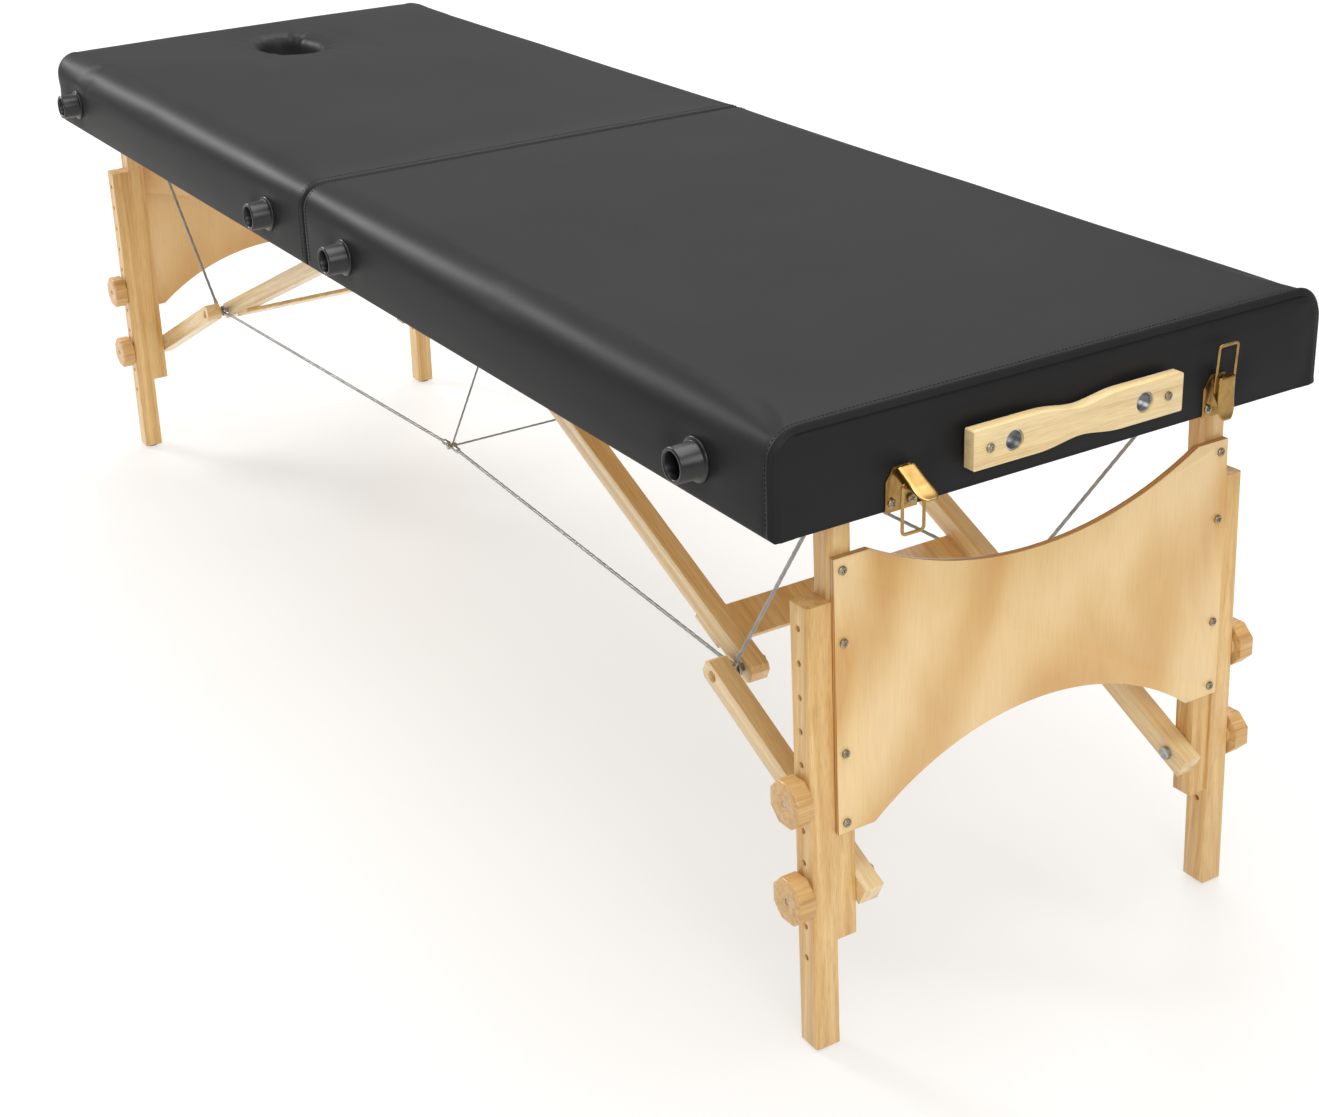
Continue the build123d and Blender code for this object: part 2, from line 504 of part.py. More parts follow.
for name, centre_y, opened, bail_turn in (
    ("near", LATCH_YS[0], LEVER_OPEN, 0.0),
    ("far", LATCH_YS[1], 0.0, BAIL_UP),
):
    frame_plane = lever_frame(centre_y, opened)
    with BuildPart() as lever:
        # face plate of the lever, and a flange down each side to the pivot
        with BuildSketch(frame_plane.offset(-LEVER_W / 2)):
            with Locations(((LEVER_TIP - LEVER_TOP) / 2, LEVER_FACE + LEVER_T / 2)):
                Rectangle(LEVER_TIP + LEVER_TOP, LEVER_T)
        extrude(amount=LEVER_W)
        for offset_y in (-LEVER_W / 2, LEVER_W / 2 - LEVER_T):
            with BuildSketch(frame_plane.offset(offset_y)):
                with Locations((BAIL_DROP / 2, (LEVER_FACE + LEVER_T - LEVER_EAR_BELOW) / 2)):
                    Rectangle(
                        BAIL_DROP + 2 * LEVER_EAR_OVER, LEVER_FACE + LEVER_T + LEVER_EAR_BELOW
                    )
                with Locations((0, 0)):
                    Circle(LATCH_PIN_R + RUNNING, mode=Mode.SUBTRACT)
                with Locations((BAIL_DROP, 0)):
                    Circle(BAIL_WIRE_R + RUNNING, mode=Mode.SUBTRACT)
            extrude(amount=LEVER_T)
    save(lever, f"{name}_latch_lever")

    hook = frame_plane.origin + frame_plane.x_dir * BAIL_DROP
    hang = radians(bail_turn)
    bail_plane = Plane(
        origin=hook, x_dir=(0, 1, 0), z_dir=(cos(hang), 0, sin(hang))
    )  # local y points away from the loop's end
    with BuildPart() as bail:
        with BuildLine() as bail_path:
            FilletPolyline(
                bail_plane.from_local_coords((-LEVER_W / 2 + 0.2, 0)),
                bail_plane.from_local_coords((-BAIL_HALF_W, 0)),
                bail_plane.from_local_coords((-BAIL_HALF_W, -BAIL_L)),
                bail_plane.from_local_coords((BAIL_HALF_W, -BAIL_L)),
                bail_plane.from_local_coords((BAIL_HALF_W, 0)),
                bail_plane.from_local_coords((LEVER_W / 2 - 0.2, 0)),
                radius=1.4,
            )
        with BuildSketch(Plane(origin=bail_path.line @ 0, z_dir=bail_path.line % 0)):
            Circle(BAIL_WIRE_R)
        sweep()
    save(bail, f"{name}_latch_bail")

# ---- catches for the bails on the head end face ----
with BuildPart() as latch_catches:
    for centre_y in LATCH_YS:
        with BuildSketch(Plane.YZ.offset(HINGE_X - FACE_X - PLATE_T)):
            with Locations((centre_y, PLATE_Z + CATCH_H / 2)):
                Rectangle(CATCH_W, CATCH_H)
        extrude(amount=PLATE_T)
        with BuildSketch(side_plane(centre_y + CATCH_W / 2 - 2)):
            with BuildLine():
                Polyline(
                    (-FACE_X - PLATE_T, PLATE_Z + 12),
                    (-FACE_X - CATCH_OUT, PLATE_Z + 12),
                    (-FACE_X - CATCH_OUT, PLATE_Z + 5),
                    (-FACE_X - CATCH_OUT + PLATE_T, PLATE_Z + 5),
                    (-FACE_X - CATCH_OUT + PLATE_T, PLATE_Z + 12 - PLATE_T),
                    (-FACE_X - PLATE_T, PLATE_Z + 12 - PLATE_T),
                    close=True,
                )
            make_face()
        extrude(amount=CATCH_W - 4)
        with BuildSketch(Plane.YZ.offset(HINGE_X - FACE_X)):
            with Locations((centre_y, CATCH_SCREW_Z)):
                Circle(SCREW_R)
        extrude(amount=-PLATE_T, mode=Mode.SUBTRACT)
save(latch_catches, "latch_catches")

with BuildPart() as head_end_fasteners:
    for centre_y in LATCH_YS:
        for radius, start, length in ((SCREW_R, 0.0, PLATE_T), (SCREW_R + 1.2, PLATE_T, 1.0)):
            with BuildSketch(Plane.YZ.offset(HINGE_X - FACE_X - start)):
                with Locations((centre_y, CATCH_SCREW_Z)):
                    Circle(radius)
            extrude(amount=-length)
save(head_end_fasteners, "head_end_fasteners")

# ---- legs: inner posts hinged to the deck, with the end panel screwed across their outer faces ----
with BuildPart() as near_inner_post:
    with BuildSketch(leg_plane(INNER_Y[1])) as inner_outline:
        with BuildLine():
            bottom = down_leg(INNER_BOTTOM_Z)
            Polyline(
                (INNER_BACK, bottom), (INNER_FRONT, bottom),
                (INNER_FRONT, INNER_TOP_OVER), (INNER_BACK, INNER_TOP_OVER), close=True,
            )
        make_face()
        with Locations((0, 0)):
            Circle(LEG_PIN_R + RUNNING, mode=Mode.SUBTRACT)
        with Locations(*[(0, step) for step in BOLT_STEPS]):
            Circle(BOLT_R, mode=Mode.SUBTRACT)
    extrude(amount=INNER_Y[1] - INNER_Y[0])
    with BuildSketch(leg_plane(INNER_Y[1])):
        with Locations((0, BOLT_STEPS[0])):
            Circle(BOLT_HEAD_R + 0.2)
    extrude(amount=BOLT_HEAD_T + 0.3, mode=Mode.SUBTRACT)
    panel_screw_plane = Plane(
        origin=point(PIVOT_X + INNER_FRONT * SPLAY_COS, 0, PIVOT_Z + INNER_FRONT * SPLAY_SIN),
        x_dir=(0, 1, 0), z_dir=(SPLAY_COS, 0, SPLAY_SIN),
    )
    with BuildSketch(panel_screw_plane):
        with Locations(*[(-PANEL_SCREW_Y, down_leg(z)) for z in PANEL_SCREW_ZS]):
            Circle(SCREW_R)
    extrude(amount=-(SCREW_L - PANEL_T + 1.0), mode=Mode.SUBTRACT)
inner_posts = both_sides(near_inner_post)
save_both_ends(inner_posts, "inner_posts")

with BuildPart() as end_panel:
    with BuildSketch(panel_screw_plane):
        with BuildLine():
            foot, top = down_leg(PANEL_BOTTOM_Z), down_leg(PANEL_TOP_Z)
            arch, dip = down_leg(PANEL_ARCH_Z), down_leg(PANEL_DIP_Z)
            Line((-PANEL_HALF_W, foot), (-PANEL_ARCH_HALF, foot))
            ThreePointArc((-PANEL_ARCH_HALF, foot), (0, arch), (PANEL_ARCH_HALF, foot))
            Polyline(
                (PANEL_ARCH_HALF, foot), (PANEL_HALF_W, foot), (PANEL_HALF_W, top), (PANEL_DIP_HALF, top)
            )
            ThreePointArc((PANEL_DIP_HALF, top), (0, dip), (-PANEL_DIP_HALF, top))
            Polyline((-PANEL_DIP_HALF, top), (-PANEL_HALF_W, top), (-PANEL_HALF_W, foot))
        make_face()
        with Locations(*[(y, down_leg(z)) for z in PANEL_SCREW_ZS for y in (-PANEL_SCREW_Y, PANEL_SCREW_Y)]):
            Circle(SCREW_R, mode=Mode.SUBTRACT)
    extrude(amount=PANEL_T)
    with BuildSketch(panel_screw_plane.offset(PANEL_T)):
        with Locations(*[(y, down_leg(z)) for z in PANEL_SCREW_ZS for y in (-PANEL_SCREW_Y, PANEL_SCREW_Y)]):
            Circle(SCREW_HEAD_R)
    extrude(amount=-SCREW_HEAD_T, mode=Mode.SUBTRACT)
save_both_ends(end_panel, "end_panel")

NUT_R, NUT_T = 6.5, 4.0

# ---- screws of the end panel, and the bolts that hold the leg extensions ----
BOLT_END_Y = OUTER_Y[0] - KNOB_GAP - KNOB_NECK_T - KNOB_T + 1.0
with BuildPart() as near_leg_fasteners:
    with BuildSketch(leg_plane(INNER_Y[1] - 0.3)):
        with Locations((0, BOLT_STEPS[0])):
            Circle(BOLT_HEAD_R)
    extrude(amount=BOLT_HEAD_T)
    with BuildSketch(leg_plane(INNER_Y[1] - 0.3)):
        with Locations((0, BOLT_STEPS[0])):
            Circle(BOLT_R)
    extrude(amount=INNER_Y[1] - 0.3 - BOLT_END_Y)
    # the lower bolt also carries the lower link, so its head stands inside the link
    with BuildSketch(leg_plane(LINK_Y[1] + 0.3 + NUT_T)):
        with Locations((0, BOLT_STEPS[1])):
            RegularPolygon(NUT_R, 6)
    extrude(amount=NUT_T)
    with BuildSketch(leg_plane(LINK_Y[1] + 0.3)):
        with Locations((0, BOLT_STEPS[1])):
            Circle(BOLT_R)
    extrude(amount=LINK_Y[1] + 0.3 - BOLT_END_Y)
    with BuildSketch(panel_screw_plane.offset(PANEL_T)):
        with Locations(*[(-PANEL_SCREW_Y, down_leg(z)) for z in PANEL_SCREW_ZS]):
            Circle(SCREW_HEAD_R)
    extrude(amount=-SCREW_HEAD_T)
    with BuildSketch(panel_screw_plane.offset(PANEL_T)):
        with Locations(*[(-PANEL_SCREW_Y, down_leg(z)) for z in PANEL_SCREW_ZS]):
            Circle(SCREW_R)
    extrude(amount=-SCREW_L)
leg_fasteners = both_sides(near_leg_fasteners)
save_both_ends(leg_fasteners, "leg_fasteners")

# ---- leg extensions: an outer post with a row of holes, standing on a glide ----
with BuildPart() as outer_post:
    with BuildSketch(leg_plane(OUTER_Y[1])):
        with BuildLine():
            top = down_leg(OUTER_TOP_Z)
            back_foot = down_leg(GLIDE_T + OUTER_HALF * SPLAY_SIN)
            front_foot = down_leg(GLIDE_T - OUTER_HALF * SPLAY_SIN)
            Polyline(
                (-OUTER_HALF, back_foot), (OUTER_HALF, front_foot),
                (OUTER_HALF, top), (-OUTER_HALF, top), close=True,
            )
        make_face()
        with Locations(*[(0, step) for step in HOLE_STEPS]):
            Circle(BOLT_R + RUNNING, mode=Mode.SUBTRACT)
    extrude(amount=OUTER_Y[1] - OUTER_Y[0])
    long_edges = outer_post.edges().filter_by(Axis((0, 0, 0), (-SPLAY_SIN, 0, SPLAY_COS)))
    fillet(long_edges.group_by(Axis.Y)[0], POST_ROUND)
with BuildPart() as glide:
    with BuildSketch(Plane.XY):
        with Locations((HINGE_X + FOOT_LINE_X, (OUTER_Y[0] + OUTER_Y[1]) / 2)):
            Circle(GLIDE_R)
    extrude(amount=GLIDE_T)
with BuildPart() as knob:
    knob_back = OUTER_Y[0] - KNOB_GAP
    with BuildSketch(leg_plane(knob_back)):
        with Locations((0, BOLT_STEPS[0])):
            Circle(KNOB_NECK_R)
    extrude(amount=KNOB_NECK_T)
    with BuildSketch(leg_plane(knob_back - KNOB_NECK_T)):
        with Locations(Location((0, BOLT_STEPS[0], 0), 22.5)):
            RegularPolygon(KNOB_FLATS / 2, 8, major_radius=False)
    extrude(amount=KNOB_T)
    chamfer(knob.faces().sort_by(Axis.Y)[0].edges(), 1.5)
    with BuildSketch(leg_plane(knob_back)):
        with Locations((0, BOLT_STEPS[0])):
            Circle(BOLT_R + RUNNING)
    extrude(amount=KNOB_NECK_T + KNOB_T, mode=Mode.SUBTRACT)

knob_step = (BOLT_STEPS[0] - BOLT_STEPS[1]) * Vector(SPLAY_SIN, 0, -SPLAY_COS)
for end in ("foot", "head"):
    for side, sign in SIDES:
        placed = {
            "outer_post": outer_post.part,
            "glide": glide.part,
            "upper_knob": knob.part,
            "lower_knob": knob.part.moved(Location(knob_step)),
        }
        for name, shape in placed.items():
            if sign < 0:
                shape = mirror(shape, about=Plane.XZ)
            if end == "head":
                shape = mirror(shape, about=HINGE_PLANE)
            with BuildPart() as leg_piece:
                add(shape)
            save(leg_piece, f"{end}_{side}_{name}")

# ---- folding struts: upper braces with a crossbar, lower links, and their bolts ----
with BuildPart() as near_upper_brace:
    with BuildSketch(strut_plane(DECK_PIVOT, KNEE, BRACE_Y[1])):
        with BuildLine():
            half = STRUT_DEPTH / 2
            Polyline(
                (-BRACE_PAST_PIVOT + half, -half),
                (BRACE_L + BRACE_PAST_KNEE - BRACE_CHAMFER, -half),
                (BRACE_L + BRACE_PAST_KNEE, -half + BRACE_CHAMFER),
                (BRACE_L + BRACE_PAST_KNEE, half - BRACE_CHAMFER),
                (BRACE_L + BRACE_PAST_KNEE - BRACE_CHAMFER, half),
                (-BRACE_PAST_PIVOT + half, half),
            )
            ThreePointArc(
                (-BRACE_PAST_PIVOT + half, half), (-BRACE_PAST_PIVOT, 0), (-BRACE_PAST_PIVOT + half, -half)
            )
        make_face()
        with Locations((0, 0)):
            Circle(DECK_PIN_R + RUNNING, mode=Mode.SUBTRACT)
        with Locations((BRACE_L, 0)):
            Circle(KNEE_BOLT_R + RUNNING, mode=Mode.SUBTRACT)
    extrude(amount=BRACE_Y[1] - BRACE_Y[0])
upper_braces = both_sides(near_upper_brace)
save_both_ends(upper_braces, "upper_braces")

with BuildPart() as crossbar:
    with BuildSketch(strut_plane(DECK_PIVOT, KNEE, -BRACE_Y[0])):
        with Locations(
            (BRACE_L - CROSSBAR_FROM_KNEE - CROSSBAR_W / 2, -STRUT_DEPTH / 2 - CROSSBAR_T / 2)
        ):
            Rectangle(CROSSBAR_W, CROSSBAR_T)
    extrude(amount=-2 * BRACE_Y[0])
save_both_ends(crossbar, "crossbar")

with BuildPart() as near_lower_link:
    with BuildSketch(strut_plane(KNEE, LEG_JOINT, LINK_Y[1])) as link_outline:
        with BuildLine():
            half, ahead = STRUT_DEPTH / 2, LINK_L + LINK_PAST_LEG
            Polyline(
                (-LINK_PAST_KNEE, -half + LINK_CHAMFER),
                (-LINK_PAST_KNEE + LINK_CHAMFER, -half),
                (ahead, -half),
                (ahead, half),
                (-LINK_PAST_KNEE + LINK_CHAMFER, half),
                (-LINK_PAST_KNEE, half - LINK_CHAMFER),
                close=True,
            )
        make_face()
        with Locations((0, 0)):
            Circle(KNEE_BOLT_R, mode=Mode.SUBTRACT)
        with Locations((LINK_L, 0)):
            Circle(BOLT_R + RUNNING, mode=Mode.SUBTRACT)
    extrude(amount=LINK_Y[1] - LINK_Y[0])
    with BuildSketch(side_plane(LINK_Y[0] + LINK_RECESS)):
        with Locations(KNEE):
            Circle(KNEE_BOLT_R + 2.0)
    extrude(amount=LINK_RECESS, mode=Mode.SUBTRACT)
lower_links = both_sides(near_lower_link)
save_both_ends(lower_links, "lower_links")

# the knee bolt ends against the link, and its nut sits behind the brace
with BuildPart() as near_knee_bolt:
    with BuildSketch(side_plane(BRACE_Y[1] + 0.3 + NUT_T)):
        with Locations(KNEE):
            Circle(KNEE_BOLT_R)
    extrude(amount=BRACE_Y[1] + NUT_T - LINK_Y[1])
    with BuildSketch(side_plane(BRACE_Y[1] + 0.3 + NUT_T)):
        with Locations(KNEE):
            RegularPolygon(NUT_R, 6)
    extrude(amount=NUT_T)
knee_bolts = both_sides(near_knee_bolt)
save_both_ends(knee_bolts, "knee_bolts")


# ---- cables: plastic-coated steel, with crimped eyes ----
def cable(start, finish, radius):
    """A straight cable between two points."""
    with BuildSketch(Plane(origin=start, z_dir=finish - start)) as section:
        Circle(radius)
    extrude(section.sketch, amount=(finish - start).length)


def eye(distance, y, z, bore_r):
    """A flat eye, on a bolt or stud that runs across the table."""
    with BuildSketch(side_plane(y + EYE_T / 2)) as ring:
        with Locations((distance, z)):
            Circle(EYE_R)
            Circle(bore_r, mode=Mode.SUBTRACT)
    extrude(ring.sketch, amount=EYE_T)


EYE_WALL = 6.0  # a cable starts this far from the middle of its eye, inside the eye's wall
FERRULE_R, FERRULE_FROM, FERRULE_L = 3.5, 7.0, 12.0
knee_stay, knee_long = point(KNEE[0], STAY_EYE_Y, KNEE[1]), point(KNEE[0], LONG_EYE_Y, KNEE[1])
anchor, junction = point(*STAY_ANCHOR), point(*JUNCTION)
stay_way = (anchor - knee_stay).normalized()
long_way = (junction - knee_long).normalized()
with BuildPart() as near_leg_cables:
    eye(KNEE[0], STAY_EYE_Y, KNEE[1], KNEE_BOLT_R + 0.2)
    eye(KNEE[0], LONG_EYE_Y, KNEE[1], KNEE_BOLT_R + 0.2)
    eye(STAY_ANCHOR[0], STAY_ANCHOR[1], STAY_ANCHOR[2], STUD_R + 0.2)
    cable(knee_stay + stay_way * EYE_WALL, anchor - stay_way * EYE_WALL, CABLE_R)
    cable(knee_long + long_way * EYE_WALL, junction - long_way * (FERRULE_FROM + FERRULE_L + 0.5), CABLE_R)
leg_cables = both_sides(near_leg_cables)
save_both_ends(leg_cables, "leg_cables")

HANGER_EYE_R = 2.9
hanger = point(0, HANGER_Y, HINGE_Z)
drop_way = (junction - hanger).normalized()
with BuildPart() as near_centre_cables:
    with BuildSketch(side_plane(HANGER_Y + 1.0)):
        with Locations((0, HINGE_Z)):
            Circle(HANGER_EYE_R)
            Circle(HINGE_PIN_R + RUNNING, mode=Mode.SUBTRACT)
    extrude(amount=2.0)
    cable(hanger + drop_way * 2.4, junction, CROSS_CABLE_R)
    cable(junction, Vector(junction.X, 0, junction.Z), CROSS_CABLE_R)
    cable(junction - Vector(0, 6, 0), junction + Vector(0, 6, 0), FERRULE_R)
    cable(junction - long_way * FERRULE_FROM, junction - long_way * (FERRULE_FROM + FERRULE_L), FERRULE_R)
    cable(junction, junction - long_way * FERRULE_FROM, CROSS_CABLE_R)
centre_cables = both_sides(near_centre_cables)
save(centre_cables, "centre_cables")

with BuildPart() as near_head_shackle:
    head_way = Vector(-long_way.X, long_way.Y, long_way.Z)
    cable(junction - head_way * FERRULE_FROM, junction - head_way * (FERRULE_FROM + FERRULE_L), FERRULE_R)
head_cable_shackles = both_sides(near_head_shackle)
save(head_cable_shackles, "head_cable_shackles")

# ---- where the joints stand, and how far the struts turn while the leg folds flat ----
folded_joint = (PIVOT_X + BOLT_STEPS[1] * SPLAY_COS, PIVOT_Z + BOLT_STEPS[1] * SPLAY_SIN)
reach = hypot(folded_joint[0] - DECK_PIVOT[0], folded_joint[1] - DECK_PIVOT[1])
along = (BRACE_L**2 - LINK_L**2 + reach**2) / (2 * reach)
aside = max(BRACE_L**2 - along**2, 0.0) ** 0.5
way = ((folded_joint[0] - DECK_PIVOT[0]) / reach, (folded_joint[1] - DECK_PIVOT[1]) / reach)
folded_knee = (
    DECK_PIVOT[0] + along * way[0] - aside * way[1],
    DECK_PIVOT[1] + along * way[1] + aside * way[0],
)


def angle(start, end):
    return degrees(atan2(end[1] - start[1], end[0] - start[0]))


brace_turn = angle(DECK_PIVOT, folded_knee) - angle(DECK_PIVOT, KNEE)
link_turn = angle(folded_knee, folded_joint) - angle(KNEE, LEG_JOINT)
link_turn = link_turn - 360 if link_turn > 0 else link_turn
print("leg pivot", round(PIVOT_X, 2), PIVOT_Z, "link on leg", [round(v, 2) for v in LEG_JOINT])
print("folded knee", [round(v, 1) for v in folded_knee])
print("brace turn", round(brace_turn, 2), "link turn", round(link_turn, 2))
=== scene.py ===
"""A portable massage table: upholstery, timber, brass and cables dressed over its mechanical frame.

Lengths are metres in the frame's own coordinates: +X is the foot end, +Z is up, -Y is the near long side.
Each sub-assembly is a class that builds its meshes, dresses them and lets them ride on the right body.
"""

from __future__ import annotations

import json
import logging
import math
from dataclasses import dataclass, field
from enum import Enum
from typing import Iterable, Sequence

import bmesh
import bpy
from mathutils import Euler, Matrix, Vector
from mathutils.bvhtree import BVHTree

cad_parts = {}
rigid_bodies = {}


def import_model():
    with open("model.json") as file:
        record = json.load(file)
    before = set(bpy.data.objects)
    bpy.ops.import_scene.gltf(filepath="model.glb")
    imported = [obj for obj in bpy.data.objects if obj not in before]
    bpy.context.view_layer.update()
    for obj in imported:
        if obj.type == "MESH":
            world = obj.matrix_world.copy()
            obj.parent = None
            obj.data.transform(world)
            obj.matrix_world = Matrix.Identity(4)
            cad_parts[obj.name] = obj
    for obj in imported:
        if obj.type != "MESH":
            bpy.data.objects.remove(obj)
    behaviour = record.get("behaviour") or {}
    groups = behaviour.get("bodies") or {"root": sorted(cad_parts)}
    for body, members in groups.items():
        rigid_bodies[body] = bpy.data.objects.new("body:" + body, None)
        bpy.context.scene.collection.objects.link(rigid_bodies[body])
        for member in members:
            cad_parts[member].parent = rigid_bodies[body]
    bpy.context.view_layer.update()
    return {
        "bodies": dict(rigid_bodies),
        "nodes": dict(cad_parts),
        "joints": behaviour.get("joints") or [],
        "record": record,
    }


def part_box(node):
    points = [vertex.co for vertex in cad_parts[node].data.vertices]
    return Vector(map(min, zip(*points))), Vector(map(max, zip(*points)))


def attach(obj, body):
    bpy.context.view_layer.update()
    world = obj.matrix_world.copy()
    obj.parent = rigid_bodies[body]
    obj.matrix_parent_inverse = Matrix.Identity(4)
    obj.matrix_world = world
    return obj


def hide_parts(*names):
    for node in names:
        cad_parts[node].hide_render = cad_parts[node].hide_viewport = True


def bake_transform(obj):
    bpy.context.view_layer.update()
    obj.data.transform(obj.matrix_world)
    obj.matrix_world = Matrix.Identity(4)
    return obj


LOG = logging.getLogger("massage_table")
MM = 0.001
X_AXIS, Y_AXIS, Z_AXIS = Vector((1, 0, 0)), Vector((0, 1, 0)), Vector((0, 0, 1))


class End(Enum):
    """The two ends of the table, with the direction in which each one lies from the centre hinge."""

    FOOT = 1
    HEAD = -1

    @property
    def word(self) -> str:
        """The end's name as the frame's nodes and bodies spell it."""
        return self.name.lower()


class Side(Enum):
    """The two long sides, with the direction in which each one lies."""

    NEAR = -1
    FAR = 1

    @property
    def word(self) -> str:
        """The side's name as the frame's nodes and bodies spell it."""
        return self.name.lower()


# ---------------------------------------------------------------------------------------------- materials


def linear(hex_colour: str) -> tuple[float, float, float, float]:
    """Turns an sRGB hex colour into the linear values that a shader takes.

    Args:
        hex_colour: six hex digits, with or without a hash in front.

    Returns:
        Red, green, blue and an alpha of 1.
    """
    digits = hex_colour.lstrip("#")
    channels = [int(digits[i : i + 2], 16) / 255 for i in (0, 2, 4)]
    straight = [c / 12.92 if c <= 0.04045 else ((c + 0.055) / 1.055) ** 2.4 for c in channels]
    return (*straight, 1.0)


def add_node(
    tree: bpy.types.NodeTree,
    kind: str,
    values: dict | None = None,
    links: dict | None = None,
    **settings: object,
) -> bpy.types.Node:
    """Adds one node to a tree.

    Args:
        tree: the node tree.
        kind: the node's type name.
        values: default values by input name or number.
        links: output sockets to join to inputs, by input name or number.
        **settings: attributes of the node itself.

    Returns:
        The new node.
    """
    node = tree.nodes.new(kind)
    for name, value in settings.items():
        setattr(node, name, value)
    for name, value in (values or {}).items():
        node.inputs[name].default_value = value
    for name, socket in (links or {}).items():
        tree.links.new(socket, node.inputs[name])
    return node


def new_material(name: str) -> tuple[bpy.types.Material, bpy.types.NodeTree, bpy.types.Node]:
    """Makes an empty material with a Principled shader on its output.

    Args:
        name: what the real material is called.

    Returns:
        The material, its node tree and its shader.
    """
    material = bpy.data.materials.new(name)
    material.use_nodes = True
    tree = material.node_tree
    tree.nodes.clear()
    shader = add_node(tree, "ShaderNodeBsdfPrincipled")
    add_node(tree, "ShaderNodeOutputMaterial", links={"Surface": shader.outputs[0]})
    return material, tree, shader


def per_metre(size_mm: float) -> float:
    """A pattern's scale for a feature of this size, because the coordinates are in metres."""
    return 1000.0 / size_mm


def add_ramp(
    tree: bpy.types.NodeTree, factor: bpy.types.NodeSocket, stops: Sequence[tuple[float, str]]
) -> bpy.types.NodeSocket:
    """Adds a colour ramp.

    Args:
        tree: the node tree.
        factor: the socket that runs along the ramp.
        stops: places from 0 to 1, each with its hex colour.

    Returns:
        The ramp's colour output.
    """
    ramp = add_node(tree, "ShaderNodeValToRGB", links={"Fac": factor})
    elements = ramp.color_ramp.elements
    for index, (place, colour) in enumerate(stops):
        element = elements[index] if index < 2 else elements.new(place)
        element.position = place
        element.color = linear(colour)
    return ramp.outputs["Color"]


def add_bump(
    tree: bpy.types.NodeTree, shader: bpy.types.Node, height: bpy.types.NodeSocket, depth_mm: float
) -> None:
    """Lets a height pattern bump a shader.

    Args:
        tree: the node tree.
        shader: the Principled shader.
        height: the pattern, from 0 to 1.
        depth_mm: how deep the real relief is.
    """
    bump = add_node(
        tree, "ShaderNodeBump", {"Strength": 1.0, "Distance": depth_mm * MM}, {"Height": height}
    )
    tree.links.new(bump.outputs[0], shader.inputs["Normal"])


@dataclass(frozen=True)
class Vinyl:
    """Black upholstery vinyl, embossed and calendered: soft gloss over a fine leather grain."""

    colour: str = "#212122"
    worn_colour: str = "#262627"
    roughness: float = 0.46
    grain_mm: float = 1.6  # the real emboss is about 0.8 mm, drawn coarser so that it shows
    grain_depth_mm: float = 0.05
    gloss: float = 0.1  # a weak reflection: the calendered face is waxy, not glassy

    def build(self) -> bpy.types.Material:
        """Builds the material.

        Returns:
            The material.
        """
        material, tree, shader = new_material("embossed_vinyl")
        place = add_node(tree, "ShaderNodeTexCoord").outputs["Object"]
        cloud = add_node(
            tree, "ShaderNodeTexNoise", {"Scale": per_metre(180), "Detail": 3.0}, {"Vector": place}
        )
        tint = add_ramp(tree, cloud.outputs["Fac"], ((0.3, self.colour), (0.75, self.worn_colour)))
        tree.links.new(tint, shader.inputs["Base Color"])
        gloss = add_node(
            tree,
            "ShaderNodeMapRange",
            {"To Min": self.roughness - 0.05, "To Max": self.roughness + 0.07},
            {"Value": cloud.outputs["Fac"]},
        )
        tree.links.new(gloss.outputs[0], shader.inputs["Roughness"])
        pebble = add_node(
            tree,
            "ShaderNodeTexVoronoi",
            {"Scale": per_metre(self.grain_mm), "Randomness": 1.0},
            {"Vector": place},
            feature="SMOOTH_F1",
        )
        add_bump(tree, shader, pebble.outputs["Distance"], self.grain_depth_mm)
        shader.inputs["Specular IOR Level"].default_value = self.gloss
        return material


